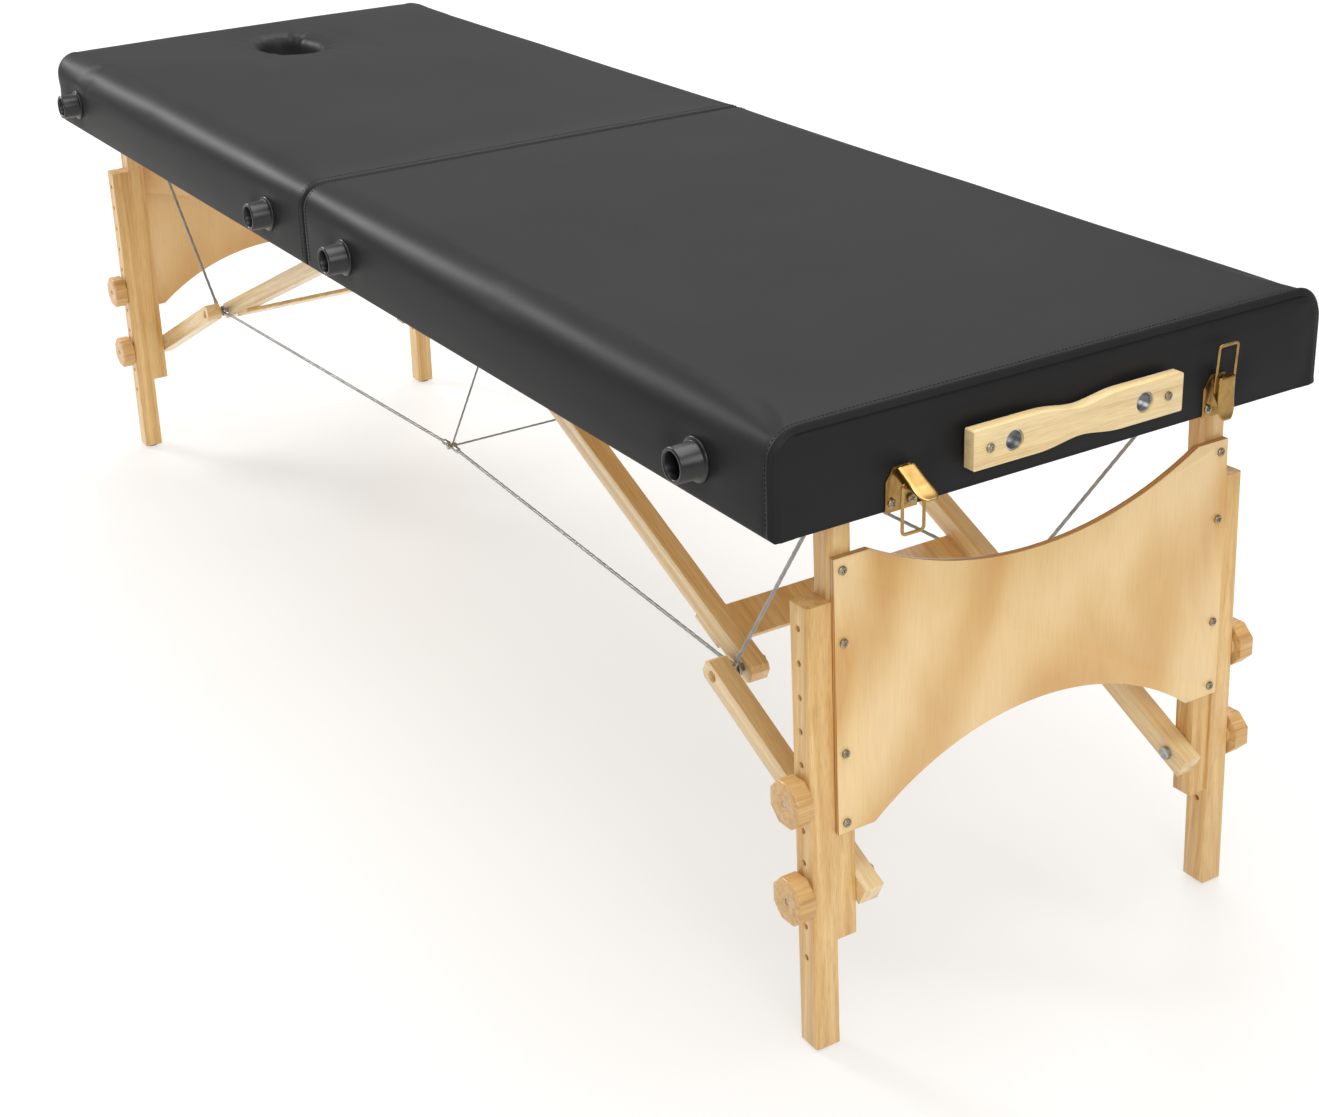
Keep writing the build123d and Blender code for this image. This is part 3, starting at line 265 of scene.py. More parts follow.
@dataclass(frozen=True)
class SolidWood:
    """Lacquered timber, planed along its grain: long streaks, fine pores and a thin clear coat."""

    name: str
    pale: str
    warm: str
    dark: str
    along: tuple[float, float, float] = (0.0, 0.0, 1.0)
    streak_mm: float = 9.0
    streak_length_mm: float = 420.0
    pore_mm: float = 0.9
    roughness: float = 0.38
    coat: float = 0.25

    def build(self) -> bpy.types.Material:
        """Builds the material.

        Returns:
            The material.
        """
        material, tree, shader = new_material(self.name)
        place = add_node(tree, "ShaderNodeTexCoord").outputs["Object"]
        turn = Vector(self.along).rotation_difference(X_AXIS).to_euler()
        straight = add_node(tree, "ShaderNodeMapping", {"Rotation": turn}, {"Vector": place})
        long_scale = per_metre(self.streak_length_mm)
        cross_scale = per_metre(self.streak_mm)
        stretched = add_node(
            tree,
            "ShaderNodeMapping",
            {"Scale": (long_scale, cross_scale, cross_scale)},
            {"Vector": straight.outputs[0]},
        )
        streaks = add_node(
            tree,
            "ShaderNodeTexNoise",
            {"Scale": 1.0, "Detail": 5.0, "Roughness": 0.6, "Distortion": 0.7},
            {"Vector": stretched.outputs[0]},
        )
        tint = add_ramp(
            tree,
            streaks.outputs["Fac"],
            ((0.28, self.pale), (0.5, self.warm), (0.72, self.dark)),
        )
        pore_scale = per_metre(self.pore_mm)
        pore_place = add_node(
            tree,
            "ShaderNodeMapping",
            {"Scale": (pore_scale / 26, pore_scale, pore_scale)},
            {"Vector": straight.outputs[0]},
        )
        pores = add_node(
            tree,
            "ShaderNodeTexNoise",
            {"Scale": 1.0, "Detail": 2.0, "Roughness": 0.5},
            {"Vector": pore_place.outputs[0]},
        )
        shade = add_ramp(tree, pores.outputs["Fac"], ((0.33, "#d9d0c4"), (0.52, "#ffffff")))
        # the colour sockets of a Mix node come after its float and vector ones
        mixed = add_node(
            tree, "ShaderNodeMix", {"Factor": 0.45}, data_type="RGBA", blend_type="MULTIPLY"
        )
        tree.links.new(tint, mixed.inputs[6])
        tree.links.new(shade, mixed.inputs[7])
        tree.links.new(mixed.outputs[2], shader.inputs["Base Color"])
        add_bump(tree, shader, pores.outputs["Fac"], 0.03)
        shader.inputs["Roughness"].default_value = self.roughness
        shader.inputs["Coat Weight"].default_value = self.coat
        shader.inputs["Coat Roughness"].default_value = 0.22
        return material


@dataclass(frozen=True)
class Plywood:
    """Rotary-cut beech plywood under clear lacquer: a wavy clouded face, and stripes on the cut edge."""

    name: str = "lacquered_plywood"
    pale: str = "#f3d29a"
    warm: str = "#e8c283"
    dark: str = "#d9a862"
    face_normal: tuple[float, float, float] = (1.0, 0.0, 0.0)
    ply_mm: float = 1.3
    figure_mm: float = 95.0
    band_scale: float = 3.2  # per metre: broad bands of figure, about 300 mm apart
    fibre_scale: tuple[float, float, float] = (60.0, 620.0, 36.0)  # per metre: fibres 1.6 by 28 mm
    lacquer: float = 0.35
    roughness: float = 0.34

    def build(self) -> bpy.types.Material:
        """Builds the material.

        Returns:
            The material.
        """
        material, tree, shader = new_material(self.name)
        coordinates = add_node(tree, "ShaderNodeTexCoord")
        place = coordinates.outputs["Object"]
        turn = Vector(self.face_normal).rotation_difference(X_AXIS).to_euler()
        flat = add_node(tree, "ShaderNodeMapping", {"Rotation": turn}, {"Vector": place})
        slanted = add_node(
            tree,
            "ShaderNodeMapping",
            {"Rotation": (math.radians(62), 0.0, 0.0), "Scale": (0.3, 1.0, 0.4)},
            {"Vector": flat.outputs[0]},
        )
        drift = add_node(
            tree,
            "ShaderNodeTexNoise",
            {"Scale": per_metre(self.figure_mm), "Detail": 2.0, "Distortion": 1.1},
            {"Vector": slanted.outputs[0]},
        )
        figure = add_node(
            tree,
            "ShaderNodeTexWave",
            {"Scale": self.band_scale, "Distortion": 7.0, "Detail": 2.0, "Detail Scale": 1.4},
            {"Vector": slanted.outputs[0]},
            wave_type="BANDS",
            bands_direction="Y",
        )
        both = add_node(
            tree,
            "ShaderNodeMix",
            {"Factor": 0.45},
            {"A": drift.outputs["Fac"], "B": figure.outputs["Fac"]},
        )
        tint = add_ramp(
            tree, both.outputs[0], ((0.25, self.pale), (0.5, self.warm), (0.78, self.dark))
        )
        fine_place = add_node(
            tree,
            "ShaderNodeMapping",
            {"Rotation": (math.radians(8), 0.0, 0.0), "Scale": self.fibre_scale},
            {"Vector": flat.outputs[0]},
        )
        fine = add_node(
            tree, "ShaderNodeTexNoise", {"Scale": 1.0, "Detail": 3.0}, {"Vector": fine_place.outputs[0]}
        )
        shade = add_ramp(tree, fine.outputs["Fac"], ((0.36, "#e9dfd0"), (0.54, "#ffffff")))
        face = add_node(
            tree, "ShaderNodeMix", {"Factor": 0.2}, data_type="RGBA", blend_type="MULTIPLY"
        )
        tree.links.new(tint, face.inputs[6])
        tree.links.new(shade, face.inputs[7])
        # the plies alternate across the thickness, and show where the surface is turned off the face
        through = add_node(tree, "ShaderNodeSeparateXYZ", links={"Vector": flat.outputs[0]})
        cycle = add_node(
            tree,
            "ShaderNodeMath",
            {1: math.pi * per_metre(self.ply_mm)},
            {0: through.outputs["X"]},
            operation="MULTIPLY",
        )
        wave = add_node(tree, "ShaderNodeMath", links={0: cycle.outputs[0]}, operation="SINE")
        plies = add_ramp(tree, wave.outputs[0], ((0.35, "#b98248"), (0.6, "#ddb277")))
        facing = add_node(
            tree,
            "ShaderNodeVectorMath",
            {1: Vector(self.face_normal).normalized()},
            {0: coordinates.outputs["Normal"]},
            operation="DOT_PRODUCT",
        )
        size = add_node(
            tree, "ShaderNodeMath", links={0: facing.outputs["Value"]}, operation="ABSOLUTE"
        )
        is_face = add_node(
            tree, "ShaderNodeMath", {1: 0.6}, {0: size.outputs[0]}, operation="GREATER_THAN"
        )
        colour = add_node(tree, "ShaderNodeMix", data_type="RGBA")
        tree.links.new(is_face.outputs[0], colour.inputs[0])
        tree.links.new(plies, colour.inputs[6])
        tree.links.new(face.outputs[2], colour.inputs[7])
        tree.links.new(colour.outputs[2], shader.inputs["Base Color"])
        add_bump(tree, shader, fine.outputs["Fac"], 0.02)
        shader.inputs["Roughness"].default_value = self.roughness
        shader.inputs["Coat Weight"].default_value = self.lacquer
        shader.inputs["Coat Roughness"].default_value = 0.18
        return material


@dataclass(frozen=True)
class Metal:
    """A plated metal, pressed or turned: cloudy tarnish and a faint brushed grain."""

    name: str
    bright: str
    tarnish: str
    roughness: float = 0.32
    cloud_mm: float = 9.0
    brushing_scale: tuple[float, float, float] = (900.0, 900.0, 60.0)  # per metre: strokes 1 by 17 mm,
    # far coarser than real brushing, so that they show

    def build(self) -> bpy.types.Material:
        """Builds the material.

        Returns:
            The material.
        """
        material, tree, shader = new_material(self.name)
        place = add_node(tree, "ShaderNodeTexCoord").outputs["Object"]
        cloud = add_node(
            tree,
            "ShaderNodeTexNoise",
            {"Scale": per_metre(self.cloud_mm), "Detail": 5.0, "Roughness": 0.6},
            {"Vector": place},
        )
        tint = add_ramp(tree, cloud.outputs["Fac"], ((0.35, self.tarnish), (0.65, self.bright)))
        tree.links.new(tint, shader.inputs["Base Color"])
        gloss = add_node(
            tree,
            "ShaderNodeMapRange",
            {"To Min": self.roughness + 0.12, "To Max": self.roughness - 0.08},
            {"Value": cloud.outputs["Fac"]},
        )
        tree.links.new(gloss.outputs[0], shader.inputs["Roughness"])
        scratch_place = add_node(
            tree, "ShaderNodeMapping", {"Scale": self.brushing_scale}, {"Vector": place}
        )
        scratch = add_node(
            tree, "ShaderNodeTexNoise", {"Scale": 1.0}, {"Vector": scratch_place.outputs[0]}
        )
        add_bump(tree, shader, scratch.outputs["Fac"], 0.02)
        shader.inputs["Metallic"].default_value = 1.0
        return material


@dataclass(frozen=True)
class Plastic:
    """Moulded plastic: an even colour, a fine spark-eroded texture and a soft gloss."""

    name: str
    colour: str
    mottle: str
    roughness: float = 0.4
    texture_mm: float = 0.7
    metallic: float = 0.0
    coat: float = 0.0

    def build(self) -> bpy.types.Material:
        """Builds the material.

        Returns:
            The material.
        """
        material, tree, shader = new_material(self.name)
        place = add_node(tree, "ShaderNodeTexCoord").outputs["Object"]
        cloud = add_node(
            tree, "ShaderNodeTexNoise", {"Scale": per_metre(14), "Detail": 3.0}, {"Vector": place}
        )
        tint = add_ramp(tree, cloud.outputs["Fac"], ((0.3, self.colour), (0.7, self.mottle)))
        tree.links.new(tint, shader.inputs["Base Color"])
        sparks = add_node(
            tree,
            "ShaderNodeTexNoise",
            {"Scale": per_metre(self.texture_mm), "Detail": 2.0},
            {"Vector": place},
        )
        add_bump(tree, shader, sparks.outputs["Fac"], 0.02)
        shader.inputs["Roughness"].default_value = self.roughness
        shader.inputs["Metallic"].default_value = self.metallic
        shader.inputs["Coat Weight"].default_value = self.coat
        return material


# ------------------------------------------------------------------------------------------ mesh helpers


def make_object(name: str, mesh: bpy.types.Mesh, material: bpy.types.Material) -> bpy.types.Object:
    """Puts a mesh into the scene at the origin.

    Args:
        name: the piece's name.
        mesh: its mesh, already in place.
        material: its finish.

    Returns:
        The new object.
    """
    piece = bpy.data.objects.new(name, mesh)
    bpy.context.scene.collection.objects.link(piece)
    mesh.materials.clear()
    mesh.materials.append(material)
    return piece


def mesh_from(name: str, points: Iterable[Vector], faces: Iterable[Sequence[int]]) -> bpy.types.Mesh:
    """Makes a smooth-shaded mesh from points and faces.

    Args:
        name: the mesh's name.
        points: its points, in metres.
        faces: its faces, as point numbers.

    Returns:
        The mesh.
    """
    mesh = bpy.data.meshes.new(name)
    mesh.from_pydata([tuple(p) for p in points], [], [tuple(f) for f in faces])
    mesh.update()
    mesh.shade_smooth()
    return mesh


def into_mesh(made: bmesh.types.BMesh, name: str) -> bpy.types.Mesh:
    """Writes a working mesh to a new mesh and frees it.

    Args:
        made: the working mesh.
        name: the new mesh's name.

    Returns:
        The new mesh.
    """
    mesh = bpy.data.meshes.new(name)
    made.to_mesh(mesh)
    made.free()
    return mesh


def settle(piece: bpy.types.Object) -> None:
    """Turns an object with modifiers into its plain evaluated mesh.

    Args:
        piece: the object, whose modifiers are removed.
    """
    graph = bpy.context.evaluated_depsgraph_get()
    plain = bpy.data.meshes.new_from_object(piece.evaluated_get(graph))
    old = piece.data
    piece.modifiers.clear()
    piece.data = plain
    plain.name = piece.name
    if isinstance(old, bpy.types.Mesh):
        bpy.data.meshes.remove(old)


def sharpen(mesh: bpy.types.Mesh, degrees: float = 32.0) -> None:
    """Shades a mesh smooth and keeps its edges crisp beyond an angle."""
    mesh.shade_smooth()
    mesh.set_sharp_from_angle(angle=math.radians(degrees))


def turned(
    profile: Sequence[tuple[float, float]], axis_from: Vector, axis: Vector, steps: int = 40
) -> bmesh.types.BMesh:
    """Turns a profile about an axis, as on a lathe.

    Args:
        profile: pairs of radius and distance along the axis. It starts and ends on the axis or is a ring.
        axis_from: the point of the axis at distance 0.
        axis: the direction of the axis.
        steps: how many facets go round.

    Returns:
        The turned surface, with its ends merged.
    """
    made = bmesh.new()
    turn = Z_AXIS.rotation_difference(axis.normalized()).to_matrix()
    rings = []
    for k in range(steps):
        angle = 2 * math.pi * k / steps
        around = Vector((math.cos(angle), math.sin(angle), 0))
        rings.append([made.verts.new(axis_from + turn @ (around * r + Z_AXIS * h)) for r, h in profile])
    for k in range(steps):
        this, after = rings[k], rings[(k + 1) % steps]
        for i in range(len(profile) - 1):
            made.faces.new((this[i], after[i], after[i + 1], this[i + 1]))
    bmesh.ops.remove_doubles(made, verts=made.verts, dist=1e-6)
    bmesh.ops.recalc_face_normals(made, faces=made.faces)
    return made


def outward(mesh: bpy.types.Mesh) -> None:
    """Turns every face of a closed mesh outwards, once its doubles are merged.

    Args:
        mesh: the closed mesh.
    """
    made = bmesh.new()
    made.from_mesh(mesh)
    bmesh.ops.remove_doubles(made, verts=made.verts, dist=1e-7)
    bmesh.ops.recalc_face_normals(made, faces=made.faces)
    made.to_mesh(mesh)
    made.free()


def eased_copy(
    node: bpy.types.Object, body: str, material: bpy.types.Material, width_mm: float
) -> bpy.types.Object:
    """Stands a copy of a CAD node in for it, with its machined edges eased.

    Args:
        node: the CAD node.
        body: the body that it rides on.
        material: its finish.
        width_mm: how wide the eased edge is.

    Returns:
        The new piece.
    """
    made = bmesh.new()
    made.from_mesh(node.data)
    bmesh.ops.remove_doubles(made, verts=made.verts, dist=2e-6)
    bmesh.ops.dissolve_limit(
        made, angle_limit=math.radians(1.0), verts=made.verts, edges=made.edges, delimit={"NORMAL"}
    )
    piece = make_object(node.name + "_finish", into_mesh(made, node.name + "_eased"), material)
    bevel = piece.modifiers.new("eased_edges", "BEVEL")
    bevel.width = width_mm * MM
    bevel.segments = 2
    bevel.limit_method = "ANGLE"
    bevel.angle_limit = math.radians(34)
    bevel.harden_normals = False
    settle(piece)
    sharpen(piece.data, 40)
    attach(piece, body)
    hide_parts(node.name)
    return piece


def repeat_tree(name: str, inputs: dict[str, str]) -> tuple[bpy.types.NodeTree, bpy.types.Node]:
    """Starts a Geometry Nodes tree that repeats a small part.

    Args:
        name: what the tree repeats.
        inputs: its inputs after the geometry, as names and socket types.

    Returns:
        The tree and its input node.
    """
    tree = bpy.data.node_groups.new(name + "_nodes", "GeometryNodeTree")
    for socket, kind in {"Geometry": "NodeSocketGeometry", **inputs}.items():
        tree.interface.new_socket(socket, in_out="INPUT", socket_type=kind)
    tree.interface.new_socket("Geometry", in_out="OUTPUT", socket_type="NodeSocketGeometry")
    return tree, add_node(tree, "NodeGroupInput")


def set_copies(
    tree: bpy.types.NodeTree,
    given: bpy.types.Node,
    points: bpy.types.NodeSocket,
    rotation: bpy.types.NodeSocket,
) -> None:
    """Ends such a tree: a copy of the part on each point, made real and given its finish.

    Args:
        tree: the tree.
        given: its input node, which has the inputs Part and Finish.
        points: where the copies go.
        rotation: how each copy is turned.
    """
    source = add_node(tree, "GeometryNodeObjectInfo", links={"Object": given.outputs["Part"]})
    placed = add_node(
        tree,
        "GeometryNodeInstanceOnPoints",
        links={"Points": points, "Instance": source.outputs["Geometry"], "Rotation": rotation},
    )
    real = add_node(tree, "GeometryNodeRealizeInstances", links={"Geometry": placed.outputs[0]})
    dressed = add_node(
        tree,
        "GeometryNodeSetMaterial",
        links={"Geometry": real.outputs[0], "Material": given.outputs["Finish"]},
    )
    add_node(tree, "NodeGroupOutput", links={"Geometry": dressed.outputs[0]})


def use_tree(piece: bpy.types.Object, tree: bpy.types.NodeTree, values: dict[str, object]) -> None:
    """Puts a tree on a piece and sets its inputs by their identifiers.

    Args:
        piece: the piece.
        tree: the tree.
        values: the inputs' values by name.
    """
    modifier = piece.modifiers.new("repeat", "NODES")
    modifier.node_group = tree
    identifiers = {s.name: s.identifier for s in tree.interface.items_tree if s.in_out == "INPUT"}
    for name, value in values.items():
        modifier[identifiers[name]] = value


def scatter_on_points(
    name: str,
    points: Sequence[Vector],
    directions: Sequence[Vector],
    part: bpy.types.Object,
    material: bpy.types.Material,
) -> bpy.types.Object:
    """Sets one copy of a small part on each point with Geometry Nodes, and makes the result plain mesh.

    Args:
        name: the finished piece's name.
        points: where the copies go.
        directions: which way each copy's +Z points.
        part: the small part, made about the origin.
        material: its finish.

    Returns:
        The finished piece.
    """
    cloud = bpy.data.meshes.new(name)
    cloud.from_pydata([tuple(p) for p in points], [], [])
    facing = cloud.attributes.new("facing", "FLOAT_VECTOR", "POINT")
    for index, direction in enumerate(directions):
        facing.data[index].vector = direction
    piece = make_object(name, cloud, material)
    tree, given = repeat_tree(name, {"Part": "NodeSocketObject", "Finish": "NodeSocketMaterial"})
    named = add_node(tree, "GeometryNodeInputNamedAttribute", {"Name": "facing"}, data_type="FLOAT_VECTOR")
    turn = add_node(
        tree, "FunctionNodeAlignRotationToVector", links={"Vector": named.outputs["Attribute"]}, axis="Z"
    )
    set_copies(tree, given, given.outputs["Geometry"], turn.outputs[0])
    use_tree(piece, tree, {"Part": part, "Finish": material})
    settle(piece)
    bpy.data.objects.remove(part)
    return piece


def stitch_part(length: float, thickness: float) -> bpy.types.Object:
    """A single stitch lying along X, as a short fat lozenge half sunk into the surface.

    Args:
        length: end to end.
        thickness: across.

    Returns:
        The stitch about the origin, to be scattered and then removed.
    """
    made = bmesh.new()
    rings = []
    for place, size in ((-0.5, 0.25), (-0.32, 0.85), (0.0, 1.0), (0.32, 0.85), (0.5, 0.25)):
        ring = []
        for k in range(6):
            angle = 2 * math.pi * k / 6
            radius = thickness / 2 * size
            ring.append(
                made.verts.new((place * length, math.cos(angle) * radius, math.sin(angle) * radius))
            )
        rings.append(ring)
    for a, b in zip(rings, rings[1:]):
        for k in range(6):
            made.faces.new((a[k], a[(k + 1) % 6], b[(k + 1) % 6], b[k]))
    made.faces.new(list(reversed(rings[0])))
    made.faces.new(rings[-1])
    bmesh.ops.recalc_face_normals(made, faces=made.faces)
    mesh = bpy.data.meshes.new("stitch")
    made.to_mesh(mesh)
    made.free()
    mesh.shade_smooth()
    part = bpy.data.objects.new("stitch", mesh)
    bpy.context.scene.collection.objects.link(part)
    return part


def stitch_row(
    name: str, route: Sequence[Vector], pitch: float, material: bpy.types.Material
) -> bpy.types.Object:
    """Sews a row of stitches along a route with Geometry Nodes, and makes the result plain mesh.

    Args:
        name: the finished piece's name.
        route: points of the seam, in order.
        pitch: from one stitch to the next.
        material: the thread.

    Returns:
        The finished row.
    """
    line = bpy.data.curves.new(name, "CURVE")
    line.dimensions = "3D"
    spline = line.splines.new("POLY")
    spline.points.add(len(route) - 1)
    for point, place in zip(spline.points, route):
        point.co = (*place, 1.0)
    piece = bpy.data.objects.new(name, line)
    bpy.context.scene.collection.objects.link(piece)
    part = stitch_part(pitch * 0.68, 0.9 * MM)
    tree, given = repeat_tree(
        name, {"Part": "NodeSocketObject", "Pitch": "NodeSocketFloat", "Finish": "NodeSocketMaterial"}
    )
    spaced = add_node(
        tree,
        "GeometryNodeCurveToPoints",
        links={"Curve": given.outputs["Geometry"], "Length": given.outputs["Pitch"]},
        mode="LENGTH",
    )
    turn = add_node(
        tree, "FunctionNodeAlignRotationToVector", links={"Vector": spaced.outputs["Tangent"]}, axis="X"
    )
    set_copies(tree, given, spaced.outputs["Points"], turn.outputs[0])
    use_tree(piece, tree, {"Part": part, "Pitch": pitch, "Finish": material})
    graph = bpy.context.evaluated_depsgraph_get()
    plain = bpy.data.meshes.new_from_object(piece.evaluated_get(graph))
    bpy.data.objects.remove(piece)
    bpy.data.objects.remove(part)
    return make_object(name, plain, material)


# ------------------------------------------------------------------------------------------- the finishes


@dataclass(frozen=True)
class Finishes:
    """Every material of the table, built once and shared by its pieces."""

    vinyl: bpy.types.Material
    thread: bpy.types.Material
    post: bpy.types.Material
    knob: bpy.types.Material
    plywood: bpy.types.Material
    deck_ply: bpy.types.Material
    pine: bpy.types.Material
    rail: bpy.types.Material
    strut: dict[End, bpy.types.Material]
    link: dict[End, bpy.types.Material]
    steel: bpy.types.Material
    screw: bpy.types.Material
    brass: bpy.types.Material
    moulding: bpy.types.Material
    cable: bpy.types.Material

    @classmethod
    def build(cls) -> Finishes:
        """Builds all the materials, with the timber's grain along each kind of piece.

        Returns:
            The finishes.
        """
        hardwood = {"pale": "#efcb8f", "warm": "#e3b976", "dark": "#cd9c58"}
        pale_wood = {"pale": "#f3dcae", "warm": "#ebcc95", "dark": "#d8ae70", "coat": 0.5}
        brace_rise, link_rise = 0.4435, 0.4882  # rise over run of the struts, towards the knee
        return cls(
            vinyl=Vinyl().build(),
            thread=Plastic("waxed_thread", "#050505", "#0b0b0b", roughness=0.8).build(),
            post=SolidWood("lacquered_hardwood_post", **hardwood, along=(0.027, 0, 1)).build(),
            knob=SolidWood(
                "turned_beech_knob", "#e2bb80", "#d6a96a", "#bb8a4e", along=(0, 1, 0), streak_mm=5.0
            ).build(),
            plywood=Plywood().build(),
            deck_ply=Plywood(
                "deck_plywood", "#dcc08e", "#cfae78", "#b8925c", face_normal=(0, 0, 1), roughness=0.6
            ).build(),
            pine=SolidWood(
                "lacquered_pine", "#f0dcae", "#ead09b", "#dab87e", along=(0, 1, 0), streak_mm=6.0
            ).build(),
            rail=SolidWood(
                "sawn_spruce", "#ddc191", "#cfae7b", "#b48f5e", along=(1, 0, 0), roughness=0.6, coat=0.0
            ).build(),
            strut={
                end: SolidWood(
                    f"{end.word}_strut_hardwood", **pale_wood, along=(end.value, 0, -brace_rise)
                ).build()
                for end in End
            },
            link={
                end: SolidWood(
                    f"{end.word}_link_hardwood", **pale_wood, along=(end.value, 0, -link_rise)
                ).build()
                for end in End
            },
            steel=Metal("zinc_plated_steel", "#c9cbcc", "#8d9093", roughness=0.3).build(),
            screw=Metal("passivated_steel_screw", "#b5aa94", "#857a66", roughness=0.34, cloud_mm=3.0).build(),
            brass=Metal("antique_brass", "#b8965c", "#9a7a46", roughness=0.3, cloud_mm=16.0).build(),
            moulding=Plastic("moulded_black_nylon", "#111112", "#19191a", roughness=0.34).build(),
            cable=Plastic("vinyl_coated_steel_rope", "#7f8486", "#a3a8aa", roughness=0.34, coat=0.3).build(),
        )


# ------------------------------------------------------------------------------------------------ cables


@dataclass
class RopeRun:
    """One tight run of plastic-coated steel rope between two points.

    Attributes:
        name: the piece's name.
        route: the run's control points, from one end to the other.
        radius: half of the rope's diameter.
        lobes: how many strands show through the coating.
        lay_length: how far along the rope one turn of a strand goes.
    """

    name: str
    route: Sequence[Vector]
    radius: float
    lobes: int = 3
    lay_length: float = 14 * MM
    around: int = 12

    def centreline(self) -> list[Vector]:
        """Reads the points of the run's NURBS spline, in order and evenly spaced.

        Returns:
            Points about 1.6 mm apart.
        """
        line = bpy.data.curves.new(self.name + "_line", "CURVE")
        line.dimensions = "3D"
        spline = line.splines.new("NURBS")
        spline.points.add(len(self.route) - 1)
        for point, place in zip(spline.points, self.route):
            point.co = (*place, 1.0)
        spline.order_u = 3
        spline.use_endpoint_u = True
        spline.resolution_u = 12
        holder = bpy.data.objects.new(self.name + "_line", line)
        bpy.context.scene.collection.objects.link(holder)
        graph = bpy.context.evaluated_depsgraph_get()
        plain = bpy.data.meshes.new_from_object(holder.evaluated_get(graph))
        points = [v.co.copy() for v in plain.vertices]
        bpy.data.objects.remove(holder)
        bpy.data.meshes.remove(plain)
        length = sum((b - a).length for a, b in zip(points, points[1:]))
        count = max(8, int(length / (1.6 * MM)))
        return [self._at(points, length * k / count) for k in range(count + 1)]

    @staticmethod
    def _at(points: Sequence[Vector], distance: float) -> Vector:
        """The place at a distance along a line of points.

        Args:
            points: the line.
            distance: how far along it.

        Returns:
            The place.
        """
        for a, b in zip(points, points[1:]):
            step = (b - a).length
            if distance <= step:
                return a.lerp(b, distance / step) if step else a.copy()
            distance -= step
        return points[-1].copy()

    def build(self, material: bpy.types.Material) -> tuple[bpy.types.Object, list[Vector]]:
        """Builds the rope.

        Args:
            material: its coating.

        Returns:
            The tube and the points that it follows.
        """
        points = self.centreline()
        along = (points[-1] - points[0]).normalized()
        first = along.cross(Z_AXIS if abs(along.z) < 0.9 else X_AXIS).normalized()
        second = along.cross(first)
        vertices, faces, gone = [], [], 0.0
        for index, centre in enumerate(points):
            if index:
                gone += (centre - points[index - 1]).length
            twist = 2 * math.pi * gone / self.lay_length
            for k in range(self.around):
                angle = 2 * math.pi * k / self.around
                bulge = 1.0 - 0.13 * (0.5 - 0.5 * math.cos(self.lobes * (angle - twist / self.lobes)))
                out = first * math.cos(angle) + second * math.sin(angle)
                vertices.append(centre + out * self.radius * bulge)
            if index:
                low = (index - 1) * self.around
                for k in range(self.around):
                    after = (k + 1) % self.around
                    faces.append((low + k, low + self.around + k, low + self.around + after, low + after))
        last = (len(points) - 1) * self.around
        faces.append(tuple(range(self.around)))
        faces.append(tuple(last + k for k in reversed(range(self.around))))
        mesh = mesh_from(self.name, vertices, faces)
        made = bmesh.new()
        made.from_mesh(mesh)
        bmesh.ops.recalc_face_normals(made, faces=made.faces)
        made.to_mesh(mesh)
        made.free()
        return make_object(self.name, mesh, material), points


